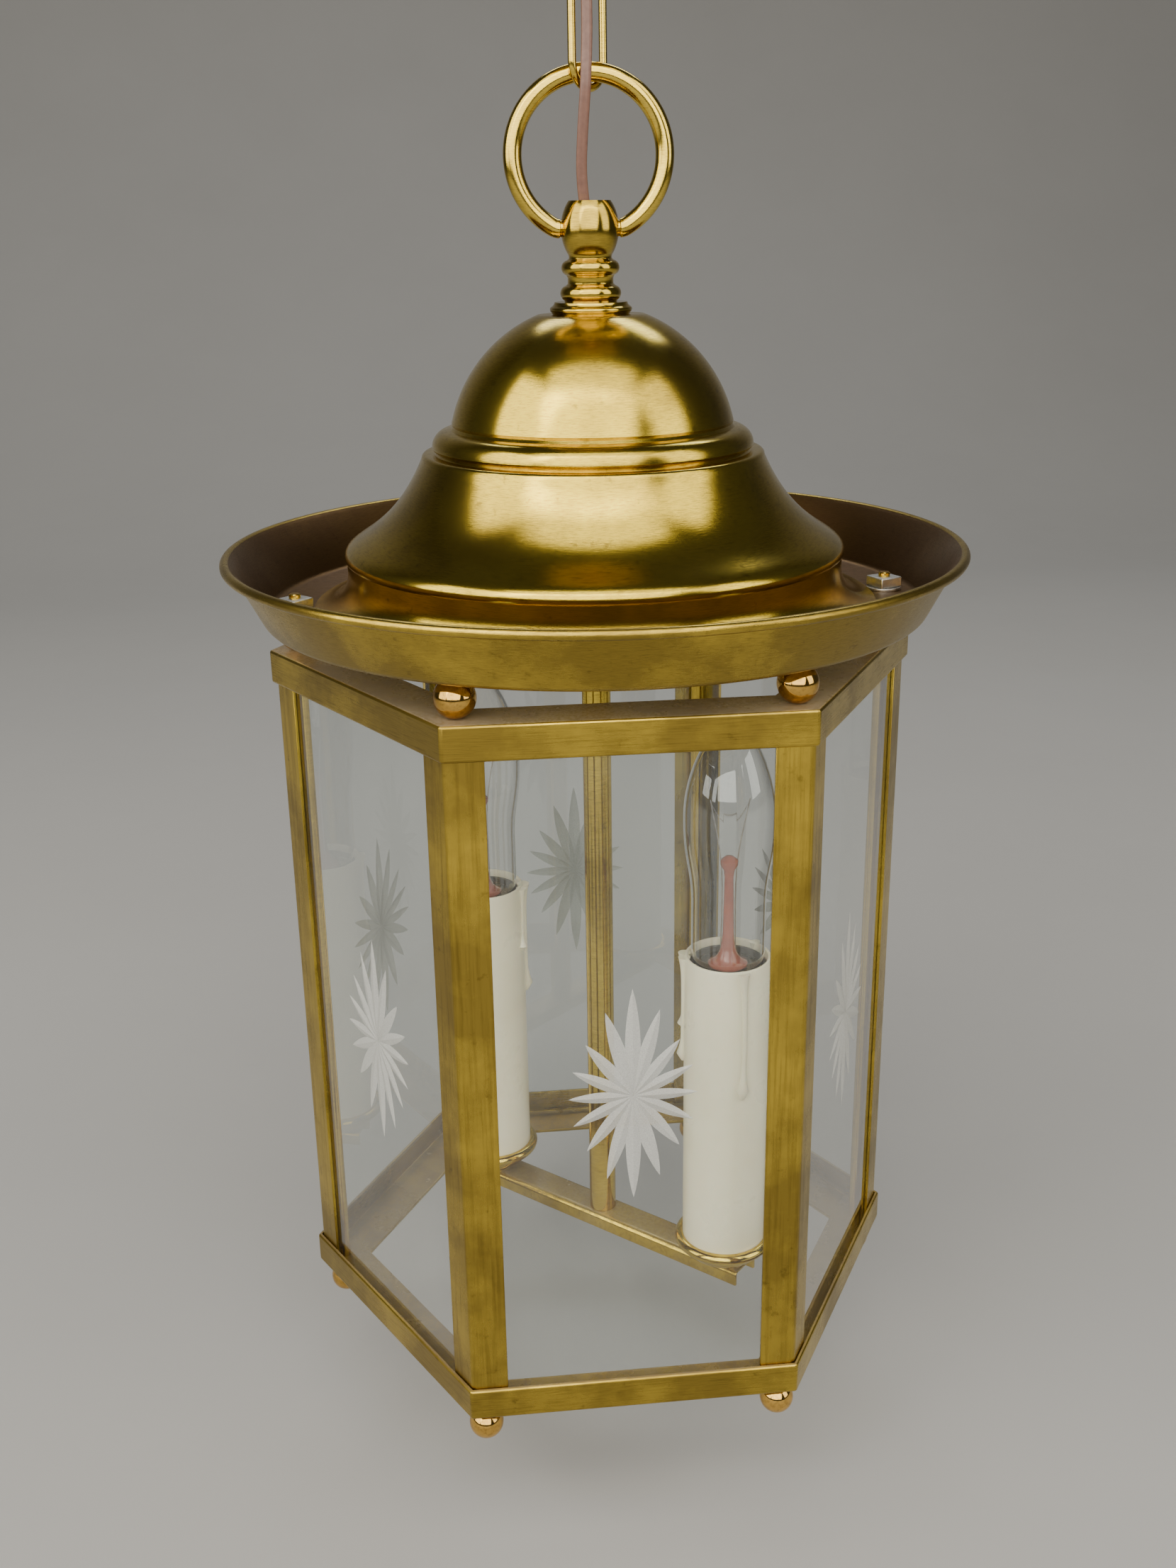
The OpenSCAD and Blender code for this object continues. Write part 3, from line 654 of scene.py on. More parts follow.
def drawn_wire(
    name: str,
    route: list[Point],
    radius: float = 0.0,
    widths: list[float] | None = None,
    section: list[Pair] | None = None,
    ring: bool = False,
    sides: int = 10,
) -> Obj:
    """Draws a wire, a rod or a cord along a route.

    Args:
        name: The new object's name.
        route: The middle of it.
        radius: Its radius, if it is round.
        widths: Its thickness at each point, as a share of the radius.
        section: The outline of its section, if it isn't round.
        ring: Whether it joins up.
        sides: How finely a round one is made.

    Returns:
        The wire as a mesh.
    """
    only(None)
    curve = bpy.data.curves.new(name, "CURVE")
    curve.dimensions = "3D"
    curve.twist_mode = "MINIMUM"
    line = curve.splines.new("POLY")
    line.points.add(len(route) - 1)
    for i, place in enumerate(route):
        line.points[i].co = (*place, 1.0)
        line.points[i].radius = widths[i] if widths else 1.0
    line.use_cyclic_u = ring
    curve.use_fill_caps = not ring
    shape = None
    if section is None:
        curve.bevel_depth = radius
        curve.bevel_resolution = sides
    else:
        flat = bpy.data.curves.new(name + "_section", "CURVE")
        edge = flat.splines.new("POLY")
        edge.points.add(len(section) - 1)
        for i, (x, y) in enumerate(section):
            edge.points[i].co = (x, y, 0.0, 1.0)
        edge.use_cyclic_u = True
        shape = bpy.data.objects.new(name + "_section", flat)
        bpy.context.scene.collection.objects.link(shape)
        curve.bevel_mode = "OBJECT"
        curve.bevel_object = shape
    obj = bpy.data.objects.new(name, curve)
    bpy.context.scene.collection.objects.link(obj)
    only(obj)
    bpy.ops.object.convert(target="MESH")
    obj = bpy.context.object
    if shape is not None:
        bpy.data.objects.remove(shape)
    bpy.ops.object.mode_set(mode="EDIT")
    tidy_mesh()
    return settle(obj, 50.0)


def turned_copy(obj: Obj, name: str, degrees: float = 0.0, shift: Point = (0, 0, 0)) -> Obj:
    """Copies a piece with its own mesh, turned about the hanging axis and then moved.

    Args:
        obj: The piece.
        name: The copy's name.
        degrees: How far it is turned.
        shift: How far it is moved.

    Returns:
        The copy.
    """
    copy = obj.copy()
    copy.data = obj.data.copy()
    copy.name = copy.data.name = name
    bpy.context.scene.collection.objects.link(copy)
    copy.data.transform(Matrix.Translation(shift) @ Matrix.Rotation(math.radians(degrees), 4, "Z"))
    return copy


def joined(name: str, parts: list[Obj]) -> Obj:
    """Joins pieces into one.

    Args:
        name: The joined piece's name.
        parts: The pieces, the first of which stays.

    Returns:
        The joined piece.
    """
    only(parts[0])
    for part in parts[1:]:
        part.select_set(True)
    if len(parts) > 1:
        bpy.ops.object.join()
    parts[0].name = parts[0].data.name = name
    return parts[0]


def bow(centre: Pair, radius: float, start: float, stop: float, steps: int = 8) -> list[Pair]:
    """Gives the points of an arc.

    Args:
        centre: Its centre.
        radius: Its radius.
        start: Its first angle, in degrees.
        stop: Its last angle, in degrees.
        steps: How many pieces it has.

    Returns:
        The points.
    """
    angles = [math.radians(start + (stop - start) * i / steps) for i in range(steps + 1)]
    return [(centre[0] + radius * math.cos(a), centre[1] + radius * math.sin(a)) for a in angles]


def flow(p: Pair, a: Pair, b: Pair, q: Pair, steps: int = 14) -> list[Pair]:
    """Gives the points of a curve with two handles.

    Args:
        p: Its start.
        a: The first handle.
        b: The second handle.
        q: Its end.
        steps: How many pieces it has.

    Returns:
        The points.
    """
    points = []
    for i in range(steps + 1):
        t = i / steps
        s = 1 - t
        w = (s**3, 3 * s * s * t, 3 * s * t * t, t**3)
        points.append(tuple(sum(k * c[j] for k, c in zip(w, (p, a, b, q))) for j in (0, 1)))
    return points


def softened(route: list[Point], pieces: int = 4) -> list[Point]:
    """Runs a smooth curve through the points of a route.

    Args:
        route: The points it passes through.
        pieces: How many steps there are between two of them.

    Returns:
        The closer points.
    """
    ends = [Vector(route[0]) * 2 - Vector(route[1])] + [Vector(p) for p in route]
    ends.append(Vector(route[-1]) * 2 - Vector(route[-2]))
    out = []
    for i in range(1, len(ends) - 2):
        a, b, c, d = ends[i - 1 : i + 3]
        for k in range(pieces):
            t = k / pieces
            out.append(
                tuple(
                    0.5 * (2 * b + (c - a) * t + (2 * a - 5 * b + 4 * c - d) * t * t + (3 * b - a - 3 * c + d) * t**3)
                )
            )
    out.append(tuple(route[-1]))
    return out


def mm(*values: float) -> tuple[float, ...]:
    """Turns millimetres into metres."""
    return tuple(v / 1000.0 for v in values)


def polar(radius: float, degrees: float, height: float) -> Point:
    """Gives the point at a radius, an angle from +X and a height."""
    return (radius * math.cos(math.radians(degrees)), radius * math.sin(math.radians(degrees)), height)


def stood(points: list[Pair], degrees: float) -> list[Point]:
    """Stands flat points up in a plane through the hanging axis, turned from +X."""
    return [polar(x, degrees, z) for x, z in points]


def hex_nut(name: str, centre: Point, turn: float = 0.0) -> Obj:
    """Makes a hexagon nut that fits the threaded pipe.

    Args:
        name: The nut's name.
        centre: The middle of its lower face.
        turn: Where its first corner stands, in degrees from +X.

    Returns:
        The nut.
    """
    profile = [(PIPE_BORE, 0.0), (HEX_NUT_R, 0.0), (HEX_NUT_R, HEX_NUT_H), (PIPE_BORE, HEX_NUT_H)]
    return bevelled(lathed(name, profile, centre, 6, turn), 0.0003)


def dress(node: str, finish: Finish) -> None:
    """Gives a CAD node that stays in view one finish.

    Args:
        node: The node's name.
        finish: Its finish.
    """
    materials = bpy.data.objects[node].data.materials
    materials.clear()
    materials.append(finish.material())


# ---------------------------------------------------------------- sub-assemblies


@dataclass
class SubAssembly:
    """What every sub-assembly does with a finished piece."""

    body: Body

    def fit(
        self, obj: Obj, finish: Finish, slot: str, *nodes: str, body: Body | None = None
    ) -> Obj:
        """Dresses a piece and puts it on its body.

        Args:
            obj: The piece, where it belongs.
            finish: Its finish.
            slot: The record's material slot; not used.
            nodes: The CAD nodes that it stands for.
            body: Its body, if it isn't the sub-assembly's own.

        Returns:
            The piece.
        """
        rides = (body or self.body).value
        if not obj.data.materials:
            obj.data.materials.append(finish.material())
        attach(obj, rides)
        if nodes:
            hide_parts(*nodes)
        LOG.info("%s: %d faces, on %s", obj.name, len(obj.data.polygons), rides)
        return obj


@dataclass
class CeilingFitting(SubAssembly):
    """The canopy at the ceiling, its loop, and what is in it."""

    body: Body = Body.CEILING
    canopy_r: float = 0.062
    depth: float = 0.022
    sheet: float = SHEET
    hub_r: float = 0.008
    hub_h: float = 0.012
    loop_r: float = 0.008
    wire_r: float = 0.002
    turn: float = 45.0

    def canopy(self) -> None:
        """Spins the canopy, with its rolled edge and its raised neck."""
        r, h, t = self.canopy_r, self.depth, self.sheet
        neck = self.hub_r + 0.003
        outer = [(r, -0.0002), (r, -0.0014)]
        outer += flow((r - 0.001, -0.0024), (r - 0.006, -0.006), (neck + 0.026, 0.001 - h), (neck, -h))
        inner = flow((r - 0.0024, -0.0024), (r - 0.007, -0.0052), (neck + 0.024, 0.001 + t - h), (neck, t - h))
        profile = outer + [(0.0055, -h), (0.0055, t - h)] + inner[::-1] + [(r - t, -0.0016), (r - t, -0.0002)]
        self.fit(lathed("canopy_shell", profile), Finish.SPUN, "aged_brass", "ceiling_canopy")

    def loop(self) -> None:
        """Makes the hub with its bead and the loop below it."""
        low = -(self.depth + self.hub_h)
        r = self.hub_r
        hub = [(0.0034, 0.0), (r - 0.0015, 0.0), (r - 0.0012, 0.0012), (r - 0.0016, 0.0024)]
        hub += bow((r - 0.0014, 0.0044), 0.0014, -80, 80, 6) + [(r - 0.0018, 0.0064), (r - 0.001, 0.009)]
        hub += [(r, 0.0102), (r, self.hub_h), (0.0034, self.hub_h)]
        body = lathed("loop_hub", hub, (0, 0, low), 64)
        centre = low - self.loop_r + self.wire_r / 2
        eye = drawn_wire("loop_eye", stood(bow((0.0, centre), self.loop_r, 114, 426, 60), self.turn), self.wire_r)
        self.fit(joined("canopy_loop_eye", [body, eye]), Finish.BRIGHT, "bright_brass", "canopy_loop")

    def hidden_parts(self) -> None:
        """Dresses the strap and makes the nipple and its nut, which only show from above."""
        dress("mounting_strap", Finish.ZINC)
        nipple = [(0.0034, -0.0005), (0.0048, -0.0005)]
        for i in range(22):
            z = -0.0012 - i * 0.0013
            nipple += [(0.0048, z), (0.0044, z - 0.0006)]
        nipple += [(0.0048, -0.031), (0.0034, -0.031)]
        self.fit(lathed("ceiling_thread", nipple, steps=48), Finish.PIPE, "threaded_pipe", "ceiling_nipple")
        self.fit(hex_nut("strap_hex", (0, 0, -0.0046)), Finish.ZINC, "zinc", "strap_nut")


@dataclass
class Chain(SubAssembly):
    """The two chain links."""

    body: Body = Body.UPPER_LINK
    height: float = 0.03815
    width: float = 0.0166
    wire_r: float = 0.0014
    tops: tuple[float, float] = (-0.0454, -0.08055)
    turns: tuple[float, float] = (135.0, 45.0)

    def links(self) -> None:
        """Bends both links."""
        bodies = (Body.UPPER_LINK, Body.LOWER_LINK)
        nodes = ("chain_link_upper", "chain_link_lower")
        for top, turn, body, node in zip(self.tops, self.turns, bodies, nodes):
            r = self.width / 2
            flat = bow((0.0, top - r), r, 0, 180, 28) + bow((0.0, top - self.height + r), r, 180, 360, 28)
            link = drawn_wire(node + "_wire", stood(flat, turn), self.wire_r, ring=True, sides=8)
            self.fit(link, Finish.BRIGHT, "bright_brass", node, body=body)


@dataclass
class HangingRing(SubAssembly):
    """The heavy ring whose ends turn in the finial's ball."""

    body: Body = Body.RING
    radius: float = 0.0262
    wire_r: float = 0.0032
    bend_r: float = 0.005
    pin_r: float = 0.0028
    centre_z: float = -0.1398
    out_x: float = 0.0103
    in_x: float = 0.0048

    def ring(self) -> None:
        """Bends the ring and its pins out of one wire."""
        end = math.degrees(math.asin(self.out_x / (self.radius - self.bend_r)))
        low = self.centre_z - (self.radius - self.bend_r) * math.cos(math.radians(end))
        right = [(self.in_x, low - self.bend_r)] + bow((self.out_x, low), self.bend_r, -90, -90 + end, 8)
        arc = bow((0.0, self.centre_z), self.radius, -90 + end, 270 - end, 120)
        left = [(-x, z) for x, z in right[::-1]]
        path = right + arc[1:-1] + left
        thin = self.pin_r / self.wire_r
        widths = [thin, thin] + [1.0] * (len(path) - 4) + [thin, thin]
        ring = drawn_wire("ring_wire", [(x, 0.0, z) for x, z in path], self.wire_r, widths, sides=12)
        self.fit(ring, Finish.BRIGHT, "bright_brass", "hanging_ring")


@dataclass
class LampCord(SubAssembly):
    """The flat two-core cord, in one stretch for each joint that it passes."""

    body: Body = Body.CEILING
    width: float = 0.0038
    thick: float = 0.0021
    stations: tuple[int, ...] = (0, 7, 11, 16, 21)
    bodies: tuple[Body, ...] = (Body.CEILING, Body.UPPER_LINK, Body.LOWER_LINK, Body.RING, Body.LANTERN)
    route: tuple[Point, ...] = (
        (0, 0, -27), (0, 0, -33), (0, -1.2, -37), (0, -3.6, -41), (0, -5.8, -46), (0, -6.6, -52), (-0.2, -6.6, -58),
        (-0.4, -6.4, -65), (-0.6, -6.4, -74), (-0.8, -6.6, -83), (-0.8, -6.5, -91), (-0.8, -6.5, -100),
        (-1, -6.6, -107), (-1.3, -6.9, -113), (-1.6, -6.8, -119), (-2.1, -6, -126), (-2.6, -4.8, -134),
        (-2.9, -3.4, -142), (-2.6, -2, -149), (-1.9, -1, -155), (-1.5, -0.5, -160), (-1.2, -0.3, -166),
    )  # fmt: skip

    def section(self) -> list[Pair]:
        """Draws the section: two round cores with a groove between them.

        Returns:
            The outline's points.
        """
        points = []
        for i in range(24):
            a = math.tau * i / 24
            groove = 1.0 - 0.2 * math.exp(-((math.cos(a) / 0.28) ** 2))
            points.append((self.width * 0.49 * math.cos(a), self.thick * 0.49 * math.sin(a) * groove))
        return points

    def stretch(self, whole: Obj, name: str, top: float, low: float) -> Obj:
        """Cuts one stretch out of a copy of the whole cord.

        Args:
            whole: The whole cord.
            name: The stretch's name.
            top: The height of its upper end.
            low: The height of its lower end.

        Returns:
            The stretch, with closed ends.
        """
        piece = turned_copy(whole, name)
        only(piece)
        bpy.ops.object.mode_set(mode="EDIT")
        for height, above in ((top, True), (low, False)):
            bpy.ops.mesh.select_all(action="SELECT")
            bpy.ops.mesh.bisect(
                plane_co=(0, 0, height), plane_no=(0, 0, 1), use_fill=True, clear_inner=not above, clear_outer=above
            )
        tidy_mesh()
        return settle(piece, 50.0)

    def stretches(self) -> None:
        whole = drawn_wire("cord_sweep", softened([mm(*p) for p in self.route]), section=self.section())
        for k in range(4):
            first, last = self.stations[k], self.stations[k + 1]
            path = softened([mm(*p) for p in self.route[first : last + 1]])
            piece = self.stretch(whole, f"lamp_cord_stretch_{k + 1}", path[0][2], path[-1][2])
            piece.data.materials.append(Finish.CORD.material())
            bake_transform(piece)
            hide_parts(f"lamp_cord_{k + 1}")
        bpy.data.objects.remove(whole)


@dataclass
class Finial(SubAssembly):
    """The turned ball finial and the check ring under it."""

    body: Body = Body.LANTERN
    foot_z: float = -0.18763
    pivot: float = 0.0243
    ball_r: float = 0.0101
    tall: float = 1.307
    way_r: float = 0.0042
    hole_r: float = 0.00286
    ring_h: float = 0.0042
    ring_r: float = 0.0145

    def turned_ball(self) -> None:
        """Turns the finial, and bores its cross hole for the ring's pins."""
        flat = math.degrees(math.acos((self.way_r + 0.0031) / self.ball_r))
        neck = -math.degrees(math.acos(0.0076 / self.ball_r))
        stem = [(PIPE_BORE, 0.0), (0.0092, 0.0)] + bow((0.008, 0.0029), 0.0027, -62, 75, 14)
        stem += [(0.0083, 0.0059), (0.0080, 0.0061), (0.0080, 0.0064), (0.0080, 0.0081), (0.0083, 0.0086)]
        stem += bow((0.0076, 0.0114), 0.0026, -70, 75, 14) + [(0.0077, 0.0143), (0.0075, 0.0146), (0.0075, 0.0149)]
        ball = [(x, self.pivot + self.tall * z) for x, z in bow((0, 0), self.ball_r, neck, flat, 26)]
        top = self.pivot + self.tall * self.ball_r * math.sin(math.radians(flat))
        bore = [(self.way_r + 0.0004, top), (self.way_r, top - 0.0005), (self.way_r, 0.0172)]
        bore += [(0.0034, 0.017), (0.0034, 0.0082), (PIPE_BORE, 0.008)]
        obj = lathed("finial_body", stem + ball + bore, (0, 0, self.foot_z), 80)
        only(None)
        bpy.ops.mesh.primitive_cylinder_add(
            vertices=48,
            radius=self.hole_r,
            depth=0.04,
            location=(0, 0, self.foot_z + self.pivot),
            rotation=(0, math.pi / 2, 0),
        )
        drill = bpy.context.object
        only(obj)
        cut = obj.modifiers.new("cross_hole", "BOOLEAN")
        cut.operation = "DIFFERENCE"
        cut.object = drill
        bpy.ops.object.modifier_apply(modifier=cut.name)
        bpy.data.objects.remove(drill)
        self.fit(settle(obj), Finish.TURNED, "aged_brass", "ball_finial")

    def check_ring(self) -> None:
        """Turns the check ring with its rounded edge."""
        r, h = self.ring_r, self.ring_h
        profile = [(PIPE_BORE, 0.0), (r - 0.001, 0.0)] + bow((r - 0.001, h * 0.42), 0.001, -60, 70, 8)
        profile += [(r - 0.0014, h * 0.8), (r - 0.0017, h), (PIPE_BORE, h)]
        ring = lathed("check_ring_turned", profile, (0, 0, self.foot_z - h))
        self.fit(ring, Finish.TURNED, "aged_brass", "check_ring")


@dataclass
class Cover(SubAssembly):
    """The spun dome, the saucer under it, and the nuts in the saucer."""

    body: Body = Body.LANTERN
    floor_z: float = DOME_Z
    sheet: float = SHEET
    foot_r: float = 0.1035
    cove_r: float = 0.013
    step_h: float = 0.0208
    ledge_r: float = 0.062
    ledge_h: float = 0.0554
    bead_r: float = 0.0579
    cap_r: float = 0.0519
    cap_z: float = 0.054
    top_h: float = 0.1023
    rim_r: float = 0.1337
    rim_h: float = 0.0213
    rim_bead: float = 0.0018
    floor_r: float = 0.1212
    bend_r: float = 0.004
    rod_at: float = ROD_AT
    washer_r: float = 0.0065
    nut_r: float = 0.00672

    def dome(self) -> None:
        """Spins the dome: cove, step, flare, ledge, bead and cap."""
        t, lh, sh = self.sheet, self.ledge_h, self.step_h
        ledge, bead, cap = self.ledge_r, self.bead_r, self.cap_r
        step = self.foot_r - self.cove_r + 0.0007
        cove = (self.foot_r, self.cove_r + t)
        edge = (ledge, lh - 0.002)
        start = math.degrees(math.asin((lh + 0.0114 - self.cap_z) / cap))
        stop = math.degrees(math.asin((self.top_h - self.cap_z) / cap))
        outer = [(self.foot_r, 0.0), (self.foot_r, t)] + bow(cove, self.cove_r, 270, 180, 14)[1:]
        outer += [(step - 0.0007, sh - 0.0024), (step - 0.0002, sh - 0.002), (step, sh - 0.0014)]
        outer += flow((step, sh), (step - 0.001, sh + 0.0057), (edge[0] + 0.012, edge[1] - 0.0264), edge, 28)
        outer += [(ledge - 0.0003, lh - 0.0008), (ledge - 0.0009, lh - 0.0002), (ledge - 0.0017, lh)]
        outer += [(bead - 0.0008, lh), (bead - 0.0013, lh + 0.0006), (bead - 0.0006, lh + 0.0012)]
        outer += bow((bead - 0.006, lh + 0.0021), 0.006, 0, 72, 9)
        outer += [(cap - 0.0007, lh + 0.0084), (cap - 0.0016, lh + 0.0094), (cap - 0.0013, lh + 0.0104)]
        outer += bow((0.0, self.cap_z), cap, start, stop, 30)
        inner = [(PIPE_BORE, self.top_h), (PIPE_BORE, self.top_h - t)]
        inner += bow((0.0, self.cap_z), cap - t, start + 2, stop - 0.6, 16)[::-1]
        inner += [(cap - 0.003, lh + 0.007), (bead - 0.0028, lh + 0.003), (bead - 0.0028, lh - t)]
        inner += flow(
            (step - 0.0019, sh - 0.0008), (step - 0.0027, sh + 0.0041),
            (edge[0] + 0.0105, edge[1] - 0.027), (edge[0] - 0.0014, edge[1] - 0.0006), 12,
        )[::-1]  # fmt: skip
        inner += bow(cove, self.cove_r + t, 270, 180, 8)[::-1][:-1]
        obj = lathed("dome_shell", outer + inner, (0, 0, self.floor_z), 144)
        self.fit(obj, Finish.SPUN, "aged_brass", "dome_cover")

    def saucer(self) -> None:
        """Spins the saucer with its rolled rim; its upward inside faces take a darker brass, which is painted shade."""
        t = self.sheet
        rise = math.degrees(math.atan2(self.rim_h, self.rim_r - 0.0016 - self.floor_r))
        bend = (self.floor_r - self.bend_r * math.tan(math.radians(rise / 2)), self.bend_r)
        a = math.radians(rise)
        top = (self.rim_r - 0.0016, self.rim_h)
        out = [(PIPE_BORE, 0.0), (0.06, 0.0), (0.1, 0.0)] + bow(bend, self.bend_r, -90, rise - 90, 8)
        out += [(top[0] - 0.0004, top[1] - 0.0006)]
        roll = bow((self.rim_r, self.rim_h), self.rim_bead, -110, 150, 18)
        inside = [(top[0] - t * math.sin(a), top[1] + t * math.cos(a) * 0.4)]
        inside += bow(bend, self.bend_r - t, rise - 90, -90, 8) + [(0.1, t), (0.06, t), (PIPE_BORE, t)]
        obj = lathed("saucer_shell", out + roll + inside, (0, 0, self.floor_z - t), 160)
        obj.data.materials.append(Finish.SAUCER.material())
        obj.data.materials.append(Finish.SAUCER_PAINTED_SHADE.material())
        # Painted shade: upward faces inside the rim take the darker brass copy, the rest keep the saucer brass.
        for face in obj.data.polygons:
            flat = math.hypot(face.center.x, face.center.y)
            inward = face.normal.z > 0.25 and flat < self.rim_r - 0.0012
            face.material_index = 1 if inward else 0
        self.fit(obj, Finish.SAUCER, "dull_brass", "saucer")

    def nuts(self) -> None:
        """Makes the square nuts and their washers, each nut turned its own way."""
        z = self.floor_z
        flat = [(ROD_BORE, 0.0), (self.washer_r, 0.0), (self.washer_r, WASHER_H), (ROD_BORE, WASHER_H)]
        washer = lathed("washer_1", flat, (self.rod_at, 0, z), 40)
        bevelled(washer, 0.0002)
        square = [(ROD_BORE, 0), (self.nut_r, 0), (self.nut_r, NUT_H), (ROD_BORE, NUT_H)]
        nut = lathed("nut", square, (0, 0, 0), 4, 45.0)
        bevelled(nut, 0.0004)
        nuts = []
        washers = []
        for k in range(6):
            own_turn = 60 * k + 23 + 37 * k
            nuts.append(turned_copy(nut, f"nut_{k}", own_turn, polar(self.rod_at, 60 * k, z + WASHER_H)))
            washers.append(turned_copy(washer, f"washer_{k}_ring", 60 * k))
        bpy.data.objects.remove(nut)
        bpy.data.objects.remove(washer)
        self.fit(joined("saucer_square_nuts", nuts), Finish.ZINC, "zinc", "square_nuts")
        self.fit(joined("saucer_washers", washers), Finish.ZINC, "zinc", "rod_washers")


@dataclass
class Cage(SubAssembly):
    """The two hexagonal frames, the posts, the tie rods, and the balls above and below."""

    body: Body = Body.LANTERN
    flats: float = FLATS
    top_z: float = TOP_Z
    foot_z: float = FOOT_Z
    leg: float = 0.0124
    flange: float = 0.0185
    metal: float = 0.0015
    corner_r: float = 0.0016
    post_leaf: float = 0.0128
    post_t: float = SHEET
    slip: float = 0.00015
    rod_at: float = ROD_AT
    rod_r: float = 0.0022

    def angle_ring(self, name: str, low: float, flip: bool) -> Obj:
        """Bends one hexagonal frame out of brass angle, with soldered corners.

        Args:
            name: The frame's name.
            low: Its outer flat face.
            flip: Whether the upright leg hangs down instead of standing up.

        Returns:
            The frame.
        """
        k, a, t, s = HEX_K, self.flats / 2, self.metal, -1 if flip else 1
        corners = [(a, 0), (a, self.leg), (a - t, self.leg), (a - t, t), (a - self.flange, t), (a - self.flange, 0)]
        obj = lathed(name, [(r * k, s * z) for r, z in corners], (0, 0, low), 6)
        only(obj)
        bpy.ops.object.mode_set(mode="EDIT")
        bpy.ops.mesh.select_all(action="DESELECT")
        bpy.ops.object.mode_set(mode="OBJECT")
        for edge in obj.data.edges:
            p, q = (obj.data.vertices[i].co for i in edge.vertices)
            upright = math.hypot(p.x - q.x, p.y - q.y) < 1e-5
            edge.select = upright and math.hypot(p.x, p.y) > (a - t / 2) * k
        bpy.ops.object.mode_set(mode="EDIT")
        bpy.ops.mesh.bevel(offset=self.corner_r * 0.6, segments=4, affect="EDGES")
        tidy_mesh()
        bevelled(obj, 0.00028, 2, 50.0)
        return settle(obj, 38.0)

    def frames(self) -> None:
        """Makes the top frame and the bottom frame."""
        self.fit(self.angle_ring("top_hexagon", self.top_z, True), Finish.FRAME, "aged_brass", "top_frame")
        self.fit(self.angle_ring("bottom_hexagon", self.foot_z, False), Finish.BASE, "aged_brass", "bottom_frame")

    def posts(self) -> None:
        """Folds one corner post and copies it to the other corners."""
        apex = (self.flats / 2 - self.metal - self.slip) * HEX_K
        r, t = 0.003, self.post_t
        fold = (-r * HEX_K, 0.0)
        leaf = (-self.post_leaf * 0.5, self.post_leaf * math.sin(math.radians(60)))
        inward = (-t * math.cos(math.radians(30)), -t * 0.5)
        shape = bow(fold, r, -30, 30, 8) + [leaf, (leaf[0] + inward[0], leaf[1] + inward[1])]
        shape += bow(fold, r - t, 30, -30, 6) + [(leaf[0] + inward[0], -leaf[1] - inward[1]), (leaf[0], -leaf[1])]
        low, high = self.foot_z + self.metal, self.top_z - self.metal
        post = prism("post_blank", [(apex + x, y) for x, y in shape], low, high)
        bevelled(post, 0.00022, 2, 50.0)
        settle(post, 35.0)
        for n in range(6):
            self.fit(turned_copy(post, f"post_{n + 1}", 60 * n), Finish.POST, "aged_brass", f"corner_post_{n + 1}")
        bpy.data.objects.remove(post)

    def rods_and_balls(self) -> None:
        """Turns the rods, the ball spacers, the collars and the ball feet, six of each."""
        rod_foot = self.foot_z - 0.0103
        proud = 0.0016
        rod_h = (DOME_Z + WASHER_H + NUT_H + proud) - rod_foot
        rod = [(0.0, 0.0), (self.rod_r, 0.0), (self.rod_r, rod_h - 0.0004), (self.rod_r - 0.0004, rod_h), (0.0, rod_h)]
        half = 0.0066
        edge = math.degrees(math.asin(half / 0.007))
        spacer = [(ROD_BORE, 0.0)] + bow((0, half), 0.007, -edge, edge, 24) + [(ROD_BORE, 2 * half)]
        foot_top = math.degrees(math.asin(0.0058 / 0.0064))
        foot = [(0.0, -0.0064)] + bow((0, 0), 0.0064, -89, foot_top, 26) + [(0.0, 0.0058)]
        collar = [(ROD_BORE, 0.0), (0.0041, 0.0)] + bow((0.0038, 0.0010), 0.0008, -70, 70, 5)
        collar += [(0.0037, 0.0019), (0.0044, 0.0023), (0.0046, 0.0028), (ROD_BORE, 0.0028)]
        jobs = (
            ("tie_rod", rod, rod_foot, Finish.BRIGHT, "bright_brass", "tie_rods", False),
            ("spacer_ball", spacer, self.top_z, Finish.COPPER, "copper_brass", "ball_spacers", True),
            ("foot_ball", foot, self.foot_z - 0.0086, Finish.COPPER, "copper_brass", "ball_feet", False),
            ("foot_collar", collar, self.foot_z - 0.0028, Finish.BRIGHT, "bright_brass", "foot_collars", True),
        )
        for name, profile, z, finish, slot, node, closed in jobs:
            one = lathed(name + "_blank", profile, (self.rod_at, 0, z), 48, closed=closed)
            six = [turned_copy(one, f"{name}_{n}", 60 * n) for n in range(6)]
            bpy.data.objects.remove(one)
            self.fit(joined(name + "s", six), finish, slot, node)


